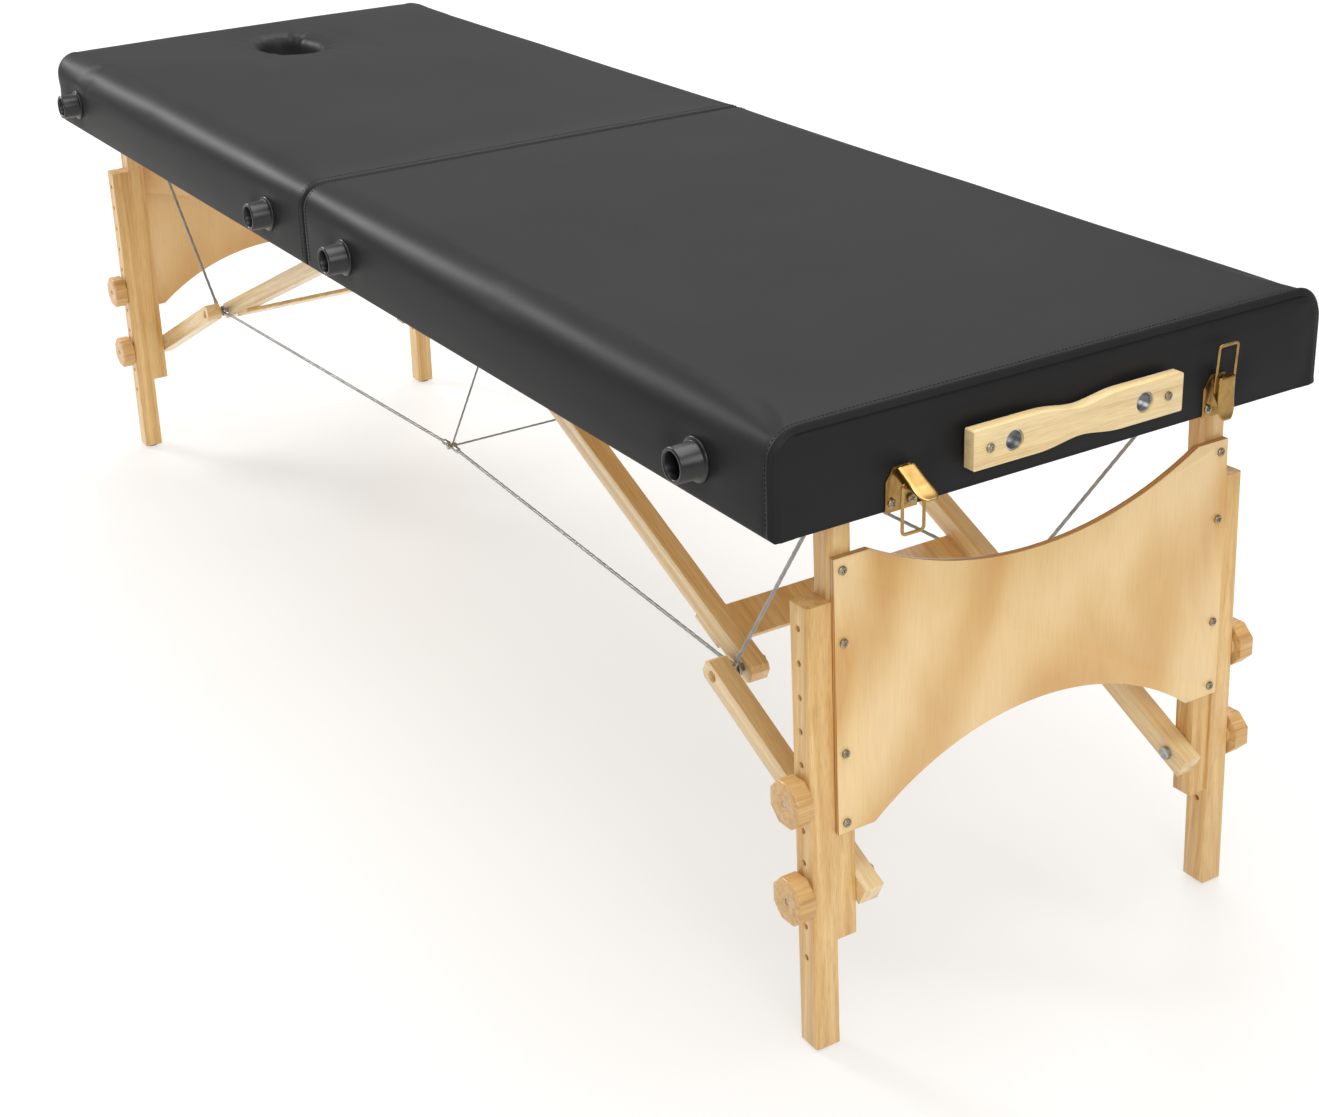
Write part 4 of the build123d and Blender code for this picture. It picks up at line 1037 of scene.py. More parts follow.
@dataclass
class Cables:
    """The stay and long cables of each leg, and the harness that hangs from the centre hinge."""

    finishes: Finishes
    hinge_x: float
    knee: tuple[float, float] = (0.6608, 0.2625)
    stay_eye_y: float = 0.176
    long_eye_y: float = 0.1705
    stay_anchor: tuple[float, float, float] = (0.848, 0.1942, 0.527)
    junction: tuple[float, float, float] = (0.0, 0.1375, 0.2634)
    hanger: tuple[float, float, float] = (0.0, 0.022, 0.5155)
    radius: float = 2.0 * MM
    cross_radius: float = 1.25 * MM
    eye_radius: float = 7.5 * MM
    eye_bore: float = 4.2 * MM
    stud_bore: float = 2.7 * MM
    eye_thick: float = 3.0 * MM
    ferrule_radius: float = 3.5 * MM
    hanger_eye: tuple[float, float] = (1.56 * MM, 2.9 * MM)  # bore and outer radius
    cross_lay: float = 10.0 * MM  # how far one turn of a strand goes on the thin cables

    def place(self, end: End, side: Side, distance: float, out: float, height: float) -> Vector:
        """A point from its distance along the table, its distance from the middle and its height."""
        return Vector((self.hinge_x + end.value * distance, side.value * out, height))

    def eye(self, centre: Vector, way: Vector, bore: float) -> bmesh.types.BMesh:
        """A pressed eye about the Y direction, with a crimped sleeve that holds the rope.

        Args:
            centre: the middle of the eye.
            way: where the rope leaves.
            bore: the hole's radius.

        Returns:
            The eye and its sleeve.
        """
        half, outer = self.eye_thick / 2, self.eye_radius
        ring = [
            (bore, -half), (outer - 0.6 * MM, -half), (outer, -half + 0.6 * MM),
            (outer, half - 0.6 * MM), (outer - 0.6 * MM, half), (bore, half), (bore, -half),
        ]
        made = turned(ring, centre, Y_AXIS, 32)
        start, sleeve = outer - 1.0 * MM, 13.0 * MM
        grip = self.radius + 0.9 * MM
        profile = [
            (0.0, start), (grip * 0.8, start), (grip, start + 1.5 * MM), (grip, start + 4 * MM),
            (grip - 0.5 * MM, start + 5 * MM), (grip, start + 6 * MM), (grip, start + 9 * MM),
            (grip - 0.5 * MM, start + 10 * MM), (grip * 0.85, start + sleeve), (0.0, start + sleeve),
        ]
        tube = turned(profile, centre, way, 20)
        return joined((made, tube))

    def ferrule(self, middle: Vector, way: Vector, half: float) -> bmesh.types.BMesh:
        """A pressed copper-steel ferrule with two crimps, about a point of the rope.

        Args:
            middle: the middle of the ferrule.
            way: the direction of the rope.
            half: half of its length.

        Returns:
            The ferrule.
        """
        r, crimp, chamfer = self.ferrule_radius, 0.6 * MM, 0.8 * MM
        profile = [
            (0.0, -half), (r * 0.8, -half), (r, -half + chamfer), (r, -half * 0.45),
            (r - crimp, -half * 0.25), (r, 0.0), (r - crimp, half * 0.25), (r, half * 0.45),
            (r, half - chamfer), (r * 0.8, half), (0.0, half),
        ]
        return turned(profile, middle, way, 20)

    def fitting(self, name: str, body: str, parts: Sequence[bmesh.types.BMesh]) -> bpy.types.Object:
        """Turns merged fittings into one steel piece on a body.

        Args:
            name: the piece's name.
            body: the body that it rides on.
            parts: the eyes and ferrules to merge.

        Returns:
            The piece.
        """
        piece = make_object(name, into_mesh(joined(parts), name), self.finishes.steel)
        sharpen(piece.data, 50)
        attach(piece, body)
        return piece

    def leg_side(self, end: End, side: Side) -> None:
        """Makes the stay cable and the long cable on one side of one leg.

        Args:
            end: the end of the table.
            side: the side of the table.
        """
        tag = f"{end.word}_{side.word}"
        knee_stay = self.place(end, side, self.knee[0], self.stay_eye_y, self.knee[1])
        knee_long = self.place(end, side, self.knee[0], self.long_eye_y, self.knee[1])
        anchor = self.place(end, side, *self.stay_anchor)
        junction = self.place(end, side, *self.junction)
        stay_way = (anchor - knee_stay).normalized()
        long_way = (junction - knee_long).normalized()
        knee_eyes = self.fitting(
            f"{tag}_knee_cable_eyes", f"{end.word}_braces",
            (self.eye(knee_stay, stay_way, self.eye_bore), self.eye(knee_long, long_way, self.eye_bore)),
        )
        anchor_eye = self.fitting(
            f"{tag}_stay_cable_eye", f"{end.word}_section", (self.eye(anchor, -stay_way, self.stud_bore),)
        )
        ferrule = self.fitting(
            f"{tag}_long_cable_ferrule", f"{end.word}_harness",
            (self.ferrule(junction - long_way * 13 * MM, long_way, 6 * MM),),
        )
        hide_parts(f"{end.word}_leg_cables")
        if end is End.HEAD:
            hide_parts("head_cable_shackles")
        clear = self.eye_radius
        self.run(
            f"{tag}_stay_cable", knee_stay + stay_way * clear, anchor - stay_way * clear,
        )
        middle = knee_long.lerp(junction, 0.5)
        self.run(
            f"{tag}_long_cable_outer", knee_long + long_way * clear, middle
        )
        self.run(
            f"{tag}_long_cable_inner", middle, junction - long_way * 10 * MM
        )

    def run(
        self,
        name: str,
        start: Vector,
        finish: Vector,
    ) -> None:
        """Makes one tight run of rope that goes from one body to another.

        Args:
            name: the piece's name.
            start: where it leaves the first body.
            finish: where it reaches the second.
        """
        rope, points = RopeRun(name, (start, start.lerp(finish, 0.5), finish), self.radius).build(
            self.finishes.cable
        )
        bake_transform(rope)
        LOG.info("cable %s: %.0f mm", name, (finish - start).length * 1000)

    def harness(self) -> None:
        """Makes the two hanging cables and the cross cable, with their eyes and ferrules."""
        parts = []
        body = "foot_harness"
        ends = {side: self.place(End.FOOT, side, *self.junction) for side in Side}
        for side, junction in ends.items():
            hanger = self.place(End.FOOT, side, *self.hanger)
            drop = (junction - hanger).normalized()
            half, (bore, outer) = 1.0 * MM, self.hanger_eye
            ring = [(bore, -half), (outer, -half), (outer, half), (bore, half), (bore, -half)]
            parts.append(turned(ring, hanger, Y_AXIS, 24))
            parts.append(self.ferrule(junction, Y_AXIS, 6 * MM))
            start = hanger + drop * 2.4 * MM
            rope, points = RopeRun(
                f"{side.word}_hanging_cable", (start, start.lerp(junction, 0.5), junction),
                self.cross_radius, lay_length=self.cross_lay,
            ).build(self.finishes.cable)
            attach(rope, body)
        near, far = ends[Side.NEAR], ends[Side.FAR]
        rope, points = RopeRun(
            "cross_cable", (near, near.lerp(far, 0.5), far), self.cross_radius, lay_length=self.cross_lay
        ).build(self.finishes.cable)
        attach(rope, body)
        fittings = self.fitting("centre_cable_fittings", body, parts)
        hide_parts("centre_cables")

    def build(self) -> None:
        """Makes every cable."""
        for end in End:
            for side in Side:
                self.leg_side(end, side)
        self.harness()


def joined(parts: Sequence[bmesh.types.BMesh]) -> bmesh.types.BMesh:
    """Gathers several meshes into the first one and frees the rest.

    Args:
        parts: the working meshes.

    Returns:
        The first one, with all of them in it.
    """
    gathered, *others = parts
    for part in others:
        spare = bpy.data.meshes.new("spare")
        part.to_mesh(spare)
        gathered.from_mesh(spare)
        part.free()
        bpy.data.meshes.remove(spare)
    return gathered


# -------------------------------------------------------------------------------------------- upholstery


class Edge(Enum):
    """How the cover goes round one end of a section."""

    SEWN = "sewn"  # a panel sewn in, with a ridge and a sunken seam
    ROLLED = "rolled"  # the vinyl pulled round a soft edge


@dataclass
class Cover:
    """The padded vinyl cover of one section: stretched skin, end panels, seams, and stitched rows.

    The skin runs along the section as rings of one outline, from the flap under the near rail, up the side,
    over the top and down to the flap under the far rail. Each end is closed by a panel.
    """

    finishes: Finishes
    end: End
    hinge_x: float
    near_end: float = 1.0 * MM
    far_end: float = 910.0 * MM
    half_width: float = 298.0 * MM
    bottom: float = 519.0 * MM
    top: float = 612.0 * MM
    radius: float = 28.0 * MM
    bottom_radius: float = 4.0 * MM
    flap: float = 22.0 * MM
    side_limit: float = 1.7 * MM  # the deck board's edge is this close under the vinyl
    hinge_roll: float = 7.0 * MM
    head_roll: float = 17.0 * MM
    head_corner: float = 34.0 * MM  # plan radius of the head section's outer corners
    crown: float = 1.4 * MM
    swell: float = 3.4 * MM  # how far the stuffed vinyl may move out in the simulation
    hole_at: tuple[float, float] = (733.0 * MM, 0.0)
    hole_half: tuple[float, float] = (63.0 * MM, 37.0 * MM)
    hole_bottom: float = 575.6 * MM
    hole_roll: float = 17.0 * MM
    sockets: Sequence[tuple[float, float]] = ((107.0 * MM, 556.0 * MM), (802.0 * MM, 556.0 * MM))
    socket_hold: tuple[float, float] = (21.0 * MM, 34.0 * MM)  # a flange presses this far, then fades
    # middle and half size across, then middle height and half height, of latch plates and handle feet
    pressed_mm: Sequence[tuple[float, ...]] = ((173, 18, 538, 22), (97, 12, 559, 12), (71, 12, 559, 12))
    pressed_reach: float = 26.0 * MM
    socket_cut: float = 13.5 * MM  # radius of the openings for the sockets, hidden by their flanges
    stitch_pitch: float = 4.2 * MM
    points: list[Vector] = field(default_factory=list)
    faces: list[tuple[int, ...]] = field(default_factory=list)
    held: list[float] = field(default_factory=list)  # 1 holds a point still, 0 lets it swell

    @property
    def edges(self) -> tuple[Edge, Edge]:
        """The edge at the hinge and the edge at the outer end."""
        return (Edge.ROLLED, Edge.SEWN if self.end is End.FOOT else Edge.ROLLED)

    def outline(self) -> list[tuple[Vector, Vector]]:
        """The skin's outline across the section, as points and outward normals in the Y-Z plane.

        Returns:
            The outline's points, each with its normal.
        """
        half = []
        for k in range(4):
            out = self.half_width - self.flap + (self.flap - self.bottom_radius) * k / 3
            half.append((Vector((0, -out, self.bottom)), -Z_AXIS))
        centre = Vector((0, -self.half_width + self.bottom_radius, self.bottom + self.bottom_radius))
        for k in range(1, 5):
            angle = math.pi / 2 * k / 4
            out = Vector((0, -math.sin(angle), -math.cos(angle)))
            half.append((centre + out * self.bottom_radius, out))
        low, high = self.bottom + self.bottom_radius, self.top - self.radius
        for k in range(1, 11):
            half.append((Vector((0, -self.half_width, low + (high - low) * k / 10)), -Y_AXIS))
        centre = Vector((0, -self.half_width + self.radius, high))
        for k in range(1, 10):
            angle = math.pi / 2 * k / 9
            out = Vector((0, -math.cos(angle), math.sin(angle)))
            half.append((centre + out * self.radius, out))
        middle = [
            (Vector((0, -(self.half_width - self.radius) * (1 - 2 * f), self.top)), Z_AXIS.copy())
            for f in self.columns()[1:-1]
        ]
        mirrored = [(Vector((0, -p.y, p.z)), Vector((0, -n.y, n.z))) for p, n in reversed(half)]
        return half + middle + mirrored

    def columns(self) -> list[float]:
        """Fractions across the width, finer at both sides.

        Returns:
            The fractions, from 0 to 1.
        """
        fine = [0.0, 0.004, 0.009, 0.016, 0.026]
        count = 62
        inner = [0.026 + (1 - 0.052) * k / count for k in range(1, count)]
        return fine + inner + [1 - f for f in reversed(fine)]

    def stations(self) -> list[float]:
        """Distances from the hinge of the skin's rings, finer at both ends.

        Returns:
            The distances, in order.
        """
        fine = [0.0, 0.8, 1.7, 2.8, 4.2, 5.8, 7.6, 9.8, 12.5, 16.0, 20.0, 26.0]
        low = [self.near_end + f * MM for f in fine]
        high = [self.far_end - f * MM for f in reversed(fine)]
        count = int((high[0] - low[-1]) / (8.2 * MM))
        inner = [low[-1] + (high[0] - low[-1]) * k / count for k in range(1, count)]
        return low + inner + high

    def inset(self, distance: float) -> tuple[float, float]:
        """How far the skin stands in at a distance from the hinge.

        Args:
            distance: from the hinge.

        Returns:
            The inset on the top and the inset on the sides, negative where the skin stands proud.
        """
        top = side = 0.0
        for gap, edge, roll in (
            (distance - self.near_end, self.edges[0], self.hinge_roll),
            (self.far_end - distance, self.edges[1], self.head_roll),
        ):
            gap = max(gap, 0.0)
            if edge is Edge.ROLLED:
                if gap < roll:
                    rolled = roll - math.sqrt(max(roll**2 - (roll - gap) ** 2, 0.0))
                    top += rolled
                    side += self.side_limit * rolled / roll
            else:
                groove = 4.6 * MM * math.exp(-((gap / (1.9 * MM)) ** 2))
                ridge = 1.9 * MM * math.exp(-(((gap - 5.0 * MM) / (2.6 * MM)) ** 2))
                sewn = 0.9 * MM * math.exp(-(((gap - 9.6 * MM) / (1.7 * MM)) ** 2))
                top += groove - ridge + sewn
                side += min(groove, self.side_limit) - ridge * 0.8 + sewn * 0.7
        return top, side

    def narrowing(self, distance: float) -> float:
        """How much narrower the section is at a distance from the hinge, as a factor of its width.

        Args:
            distance: from the hinge.

        Returns:
            The factor, 1 where the section has its full width.
        """
        gap = self.far_end - distance
        if self.end is End.FOOT or gap >= self.head_corner:
            return 1.0
        lost = self.head_corner - math.sqrt(self.head_corner**2 - (self.head_corner - max(gap, 0)) ** 2)
        return 1.0 - lost / self.half_width

    def world(self, distance: float, y: float, z: float) -> Vector:
        """A point of the section from its distance from the hinge."""
        return Vector((self.hinge_x + self.end.value * distance, y, z))

    def add_point(self, place: Vector, held: float) -> int:
        """Adds a point and says how firmly it is held.

        Args:
            place: where it is.
            held: 1 holds it still, and 0 lets it swell.

        Returns:
            The point's number.
        """
        self.points.append(place)
        self.held.append(held)
        return len(self.points) - 1

    def add_face(self, *corners: int) -> None:
        """Adds a face, turned for the end that mirrors the other."""
        self.faces.append(corners if self.end is End.FOOT else tuple(reversed(corners)))

    def skin(self) -> list[list[int]]:
        """Builds the rings of the skin, and returns their point numbers.

        Returns:
            One list of point numbers for each ring, from the hinge outwards.
        """
        outline = self.outline()
        rings = []
        for distance in self.stations():
            top, side = self.inset(distance)
            gap = min(distance - self.near_end, self.far_end - distance)
            ring = []
            for place, out in outline:
                upward = max(out.z, 0.0) ** 1.5
                shift = side + (top - side) * upward
                if out.z < -0.01:
                    shift = 0.0
                across = 1 - (place.y / (self.half_width - self.radius)) ** 2
                part = (distance - self.near_end) / (self.far_end - self.near_end)
                along = math.sin(math.pi * min(max(part, 0), 1))
                rise = self.crown * max(across, 0) ** 0.5 * along**0.4 * (1.0 if out.z > 0.99 else 0.0)
                spot = place - out * shift
                spot.y *= self.narrowing(distance)
                held = 1.0 if gap < 8 * MM or place.z < self.bottom + 6 * MM else 0.0
                ring.append(self.add_point(self.world(distance, spot.y, spot.z + rise), held))
            rings.append(ring)
        for near, after in zip(rings, rings[1:]):
            for k in range(len(near) - 1):
                self.add_face(near[k], after[k], after[k + 1], near[k + 1])
        return rings

    def panel(self, ring: list[int], distance: float, outward: int) -> None:
        """Closes one end with its panel, sewn to the last ring.

        Args:
            ring: the point numbers of the skin's last ring.
            distance: how far that ring is from the hinge.
            outward: 1 where the panel faces away from the hinge, -1 where it faces the hinge.
        """
        width, span = len(self.columns()), len(ring)
        rows_up = (span - width) // 2  # rows from the flap up to the top's first point
        fractions = self.columns()
        edge = self.edges[1] if outward > 0 else self.edges[0]
        rows = []
        for k in range(3, rows_up + 1):
            left, right = ring[k], ring[span - 1 - k]
            if k == rows_up:
                rows.append(ring[rows_up : span - rows_up])
                continue
            a, b = self.points[left], self.points[right]
            row = [left]
            for f in fractions[1:-1]:
                place = a.lerp(b, f)
                reach = min(f, 1 - f) * (b.y - a.y)
                over = min(reach, max(self.points[ring[rows_up]].z - place.z, 0.0))
                dip = 0.0
                if edge is Edge.SEWN:
                    dip = 2.4 * MM * math.exp(-((over / (2.0 * MM)) ** 2)) - 1.3 * MM * math.exp(
                        -(((over - 6 * MM) / (3.5 * MM)) ** 2)
                    )
                    place.x -= self.end.value * outward * dip
                row.append(self.add_point(place, 1.0 if over < 2.5 * MM or k < 8 else 0.0))
            row.append(right)
            rows.append(row)
        under = []
        for k in range(3):
            back = self.flap - (self.flap - self.bottom_radius) * k / 3
            half, low = abs(self.points[ring[3]].y), self.bottom - 0.25 * MM
            row = [self.world(distance - outward * back, -half + 2 * half * f, low) for f in fractions]
            under.append([self.add_point(place, 1.0) for place in row])
        rows = under + rows
        for low, high in zip(rows, rows[1:]):
            for k in range(len(low) - 1):
                quad = (low[k], low[k + 1], high[k + 1], high[k])
                self.add_face(*(quad if outward > 0 else tuple(reversed(quad))))

    def open_face_hole(self, rings: list[list[int]]) -> None:
        """Cuts the breathing hole into the top and pulls the vinyl down into it in folds.

        Args:
            rings: the skin's point numbers.
        """
        stations = self.stations()
        at, _ = self.hole_at
        low_i = max(i for i, s in enumerate(stations) if s < at - 122 * MM)
        high_i = min(i for i, s in enumerate(stations) if s > at + 122 * MM)
        ring = rings[low_i]
        ys = [self.points[n].y for n in ring]
        tops = [k for k, n in enumerate(ring) if self.points[n].z > self.top - 1e-4]
        low_k = max(k for k in tops if ys[k] < -92 * MM)
        high_k = min(k for k in tops if ys[k] > 92 * MM)
        inside = {rings[i][k] for i in range(low_i + 1, high_i) for k in range(low_k + 1, high_k)}
        self.faces = [f for f in self.faces if not inside.intersection(f)]
        loop = [rings[low_i][k] for k in range(low_k, high_k)]
        loop += [rings[i][high_k] for i in range(low_i, high_i)]
        loop += [rings[high_i][k] for k in range(high_k, low_k, -1)]
        loop += [rings[i][low_k] for i in range(high_i, low_i, -1)]
        a, b = self.hole_half
        previous = loop
        steps = [("top", t) for t in (0.12, 0.26, 0.42, 0.58, 0.72, 0.84, 0.93)]
        steps += [("roll", t) for t in (0.0, 0.2, 0.4, 0.6, 0.8, 1.0)]
        steps += [("bore", t) for t in (0.12, 0.28, 0.5, 0.75, 1.0)]
        for kind, t in steps:
            new = []
            for number in loop:
                outer = self.points[number]
                x, y = (outer.x - self.hinge_x) * self.end.value - at, outer.y
                angle = math.atan2(y / (b + 40 * MM), x / (a + 45 * MM))
                way = Vector((math.cos(angle), math.sin(angle)))
                wrinkle = self.crumple(angle, t if kind == "top" else 1.0)
                rim = Vector(((a + self.hole_roll) * way.x, (b + self.hole_roll) * way.y))
                if kind == "top":
                    flat = Vector((x, y)).lerp(rim, t)
                    z = outer.z - 2.6 * MM * t**3 + wrinkle * t**4
                elif kind == "roll":
                    turn = math.pi / 2 * t
                    out = self.hole_roll * (1 - math.sin(turn))
                    flat = Vector(((a + out) * way.x, (b + out) * way.y))
                    z = self.top - 2.6 * MM - self.hole_roll * (1 - math.cos(turn)) + wrinkle * (1 - 0.3 * t)
                    flat *= 1 - wrinkle * 6 * t
                else:
                    flat = Vector((a * way.x, b * way.y)) * (1 - wrinkle * 6 * (1 - t))
                    z = self.top - 2.6 * MM - self.hole_roll
                    z += (self.hole_bottom - z) * t
                held = min(max((t - 0.2) / 0.6, 0), 1) if kind == "top" else 1.0
                new.append(self.add_point(self.world(at + flat.x, flat.y, z), held))
            count = len(loop)
            for k in range(count):
                after = (k + 1) % count
                self.add_face(previous[k], new[k], new[after], previous[after])
            previous = new

    def crumple(self, angle: float, reach: float) -> float:
        """How far the gathered vinyl folds up or down at an angle round the hole.

        Args:
            angle: round the hole, in radians.
            reach: how much of the fold is there, from 0 to 1.

        Returns:
            The height of the fold.
        """
        folds = 0.0
        for waves, size, start in ((9, 0.45, 0.4), (17, 0.5, 1.7), (29, 0.35, 2.9), (43, 0.2, 0.9)):
            folds += size * math.sin(waves * angle + start + 1.3 * math.sin(2 * angle + start))
        patch = 0.45 + 0.55 * math.sin(angle * 1.5 + 0.6) ** 2
        return 1.25 * MM * folds * patch * reach

    def hold_at_fittings(self, place: Vector) -> float:
        """How firmly hardware presses on the vinyl at a point, from 0 to 1.

        Args:
            place: the point.

        Returns:
            0 where the vinyl is free, 1 where it is pressed flat.
        """
        distance = (place.x - self.hinge_x) * self.end.value
        firm = 0.0
        if abs(abs(place.y) - self.half_width) < 12 * MM:
            for along, height in self.sockets:
                gap = math.hypot(distance - along, place.z - height)
                firm = max(firm, 1 - min(max((gap - self.socket_hold[0]) / self.socket_hold[1], 0), 1))
        if distance > self.far_end - 12 * MM:
            for y, half_y, z, half_z in self.pressed_mm:
                aside = max(abs(abs(place.y) - y * MM) - half_y * MM, 0)
                above = max(abs(place.z - z * MM) - half_z * MM, 0)
                firm = max(firm, 1 - min(max(math.hypot(aside, above) / self.pressed_reach, 0), 1))
        if distance < self.near_end + 12 * MM:
            firm = max(firm, 0.82)  # the two sections press on each other here
        return firm * firm * (3 - 2 * firm)

    def swell_by_simulation(self, piece: bpy.types.Object) -> None:
        """Inflates the cover as cloth over its stuffing, and limits how far it moves.

        Args:
            piece: the cover, before its subdivision.
        """
        group = piece.vertex_groups.new(name="held")
        for index, held in enumerate(self.held):
            group.add([index], held, "REPLACE")
        before = [v.co.copy() for v in piece.data.vertices]
        cloth = piece.modifiers.new("stuffing", "CLOTH")
        settings = cloth.settings
        settings.quality = 6
        settings.mass = 0.3
        settings.use_pressure = True
        settings.uniform_pressure_force = 4.0
        settings.tension_stiffness = settings.compression_stiffness = 40.0
        settings.shear_stiffness = 20.0
        settings.bending_stiffness = 6.0
        settings.effector_weights.gravity = 0.0
        settings.vertex_group_mass = "held"
        settings.pin_stiffness = 3.0
        cloth.point_cache.frame_start, cloth.point_cache.frame_end = 1, 20
        for frame in range(1, 21):
            bpy.context.scene.frame_set(frame)
        graph = bpy.context.evaluated_depsgraph_get()
        shape = piece.evaluated_get(graph).to_mesh()
        swollen = [v.co.copy() for v in shape.vertices]
        piece.evaluated_get(graph).to_mesh_clear()
        piece.modifiers.clear()
        bpy.context.scene.frame_set(1)
        moved = []
        for index, (old, new) in enumerate(zip(before, swollen)):
            step = new - old
            limit = self.swell * (1 - self.hold_at_fittings(old)) * (1 - self.held[index])
            if step.length > 1e-9:
                step *= limit * math.tanh(step.length / max(limit, 1e-6)) / step.length
            moved.append(old + step)
        for vertex, place in zip(piece.data.vertices, moved):
            vertex.co = place
        piece.vertex_groups.clear()
        LOG.info(
            "%s swelled by up to %.1f mm",
            piece.name,
            max((a - b).length for a, b in zip(before, moved)) * 1000,
        )

    def cut_for_sockets(self, piece: bpy.types.Object) -> None:
        """Opens the sides where the moulded sockets pass through, inside their flanges.

        Args:
            piece: the cover.
        """
        made = bmesh.new()
        made.from_mesh(piece.data)
        doomed = []
        for vertex in made.verts:
            distance = (vertex.co.x - self.hinge_x) * self.end.value
            gaps = [math.hypot(distance - along, vertex.co.z - height) for along, height in self.sockets]
            if abs(abs(vertex.co.y) - self.half_width) < 12 * MM and min(gaps) < self.socket_cut:
                doomed.append(vertex)
        bmesh.ops.delete(made, geom=doomed, context="VERTS")
        made.to_mesh(piece.data)
        made.free()

    def stitches(self, piece: bpy.types.Object) -> None:
        """Sews the rows beside the seams.

        Args:
            piece: the cover, swelled and subdivided.
        """
        made = bmesh.new()
        made.from_mesh(piece.data)
        tree = BVHTree.FromBMesh(made)
        made.free()
        rows = [("hinge", self.near_end + 8.5 * MM)]
        if self.edges[1] is Edge.SEWN:
            rows.append(("outer", self.far_end - 9.6 * MM))
        for word, distance in rows:
            route = []
            for place, out in self.outline():
                if out.z < -0.01 or place.z < self.bottom + 5 * MM:
                    continue
                spot, normal, _, _ = tree.find_nearest(self.world(distance, place.y, place.z))
                route.append(spot + normal * 0.15 * MM)
            name = f"{self.end.word}_{word}_stitches"
            row = stitch_row(name, route, self.stitch_pitch, self.finishes.thread)
            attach(row, f"{self.end.word}_section")
            LOG.info("stitches %s", row.name)

    def build(self) -> bpy.types.Object:
        """Builds, stuffs and dresses the cover.

        Returns:
            The finished cover.
        """
        rings = self.skin()
        self.panel(rings[-1], self.far_end, 1)
        self.panel(rings[0], self.near_end, -1)
        if self.end is End.HEAD:
            self.open_face_hole(rings)
        name = f"{self.end.word}_padded_cover"
        used = sorted({n for f in self.faces for n in f})
        number = {old: new for new, old in enumerate(used)}
        self.held = [self.held[n] for n in used]
        mesh = mesh_from(name, [self.points[n] for n in used], [[number[n] for n in f] for f in self.faces])
        piece = make_object(name, mesh, self.finishes.vinyl)
        self.swell_by_simulation(piece)
        finer = piece.modifiers.new("smooth_vinyl", "SUBSURF")
        finer.levels = finer.render_levels = 1
        settle(piece)
        self.cut_for_sockets(piece)
        piece.data.shade_smooth()
        self.stitches(piece)
        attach(piece, f"{self.end.word}_section")
        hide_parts(f"{self.end.word}_cover", f"{self.end.word}_foam")
        if self.end is End.HEAD:
            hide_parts("face_hole_liner")
        LOG.info("cover %s: %d faces", name, len(piece.data.polygons))
        return piece


# ----------------------------------------------------------------------------------- timber and hardware


@dataclass
class Fasteners:
    """Cross-recess screws, set over the plain screw heads of the frame."""

    finishes: Finishes
    head_radius: float = 4.0 * MM
    head_height: float = 2.2 * MM
    slot_length: float = 4.6 * MM
    slot_width: float = 1.1 * MM
    slot_depth: float = 0.9 * MM

    def screw(self) -> bpy.types.Object:
        """Builds one screw head standing on the origin along +Z, with a cross cut into its dome.

        Returns:
            The screw head, to be scattered and then removed.
        """
        r, h = self.head_radius, self.head_height
        dome = turned(
            [(0.0, 0.0), (r, 0.0), (r, 0.68 * h), (r * 0.92, 0.84 * h), (r * 0.7, 0.97 * h), (0.0, h)],
            Vector(), Z_AXIS, 20,
        )
        cutters = bmesh.new()
        for turn in (0, math.pi / 2):
            size = Matrix.Diagonal((self.slot_length, self.slot_width, 2 * self.slot_depth, 1.0))
            place = Matrix.Translation((0, 0, h)) @ Matrix.Rotation(turn + 0.5, 4, "Z")
            bmesh.ops.create_cube(cutters, size=1.0, matrix=place @ size)
        objects = []
        for name, made in (("screw", dome), ("cross", cutters)):
            piece = bpy.data.objects.new(name, into_mesh(made, name))
            bpy.context.scene.collection.objects.link(piece)
            objects.append(piece)
        cut = objects[0].modifiers.new("cross", "BOOLEAN")
        cut.object, cut.operation, cut.solver, cut.use_self = objects[1], "DIFFERENCE", "EXACT", True
        settle(objects[0])
        bpy.data.objects.remove(objects[1])
        sharpen(objects[0].data, 40)
        return objects[0]

    def set_in(self, name: str, body: str, points: Sequence[Vector], way: Vector) -> None:
        """Sets a group of screws on a body.

        Args:
            name: the group's name.
            body: the body that they ride on.
            points: where they stand.
            way: the direction that their heads face.
        """
        piece = scatter_on_points(name, points, [way] * len(points), self.screw(), self.finishes.screw)
        sharpen(piece.data, 40)
        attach(piece, body)
        LOG.info("screws %s: %d", name, len(points))


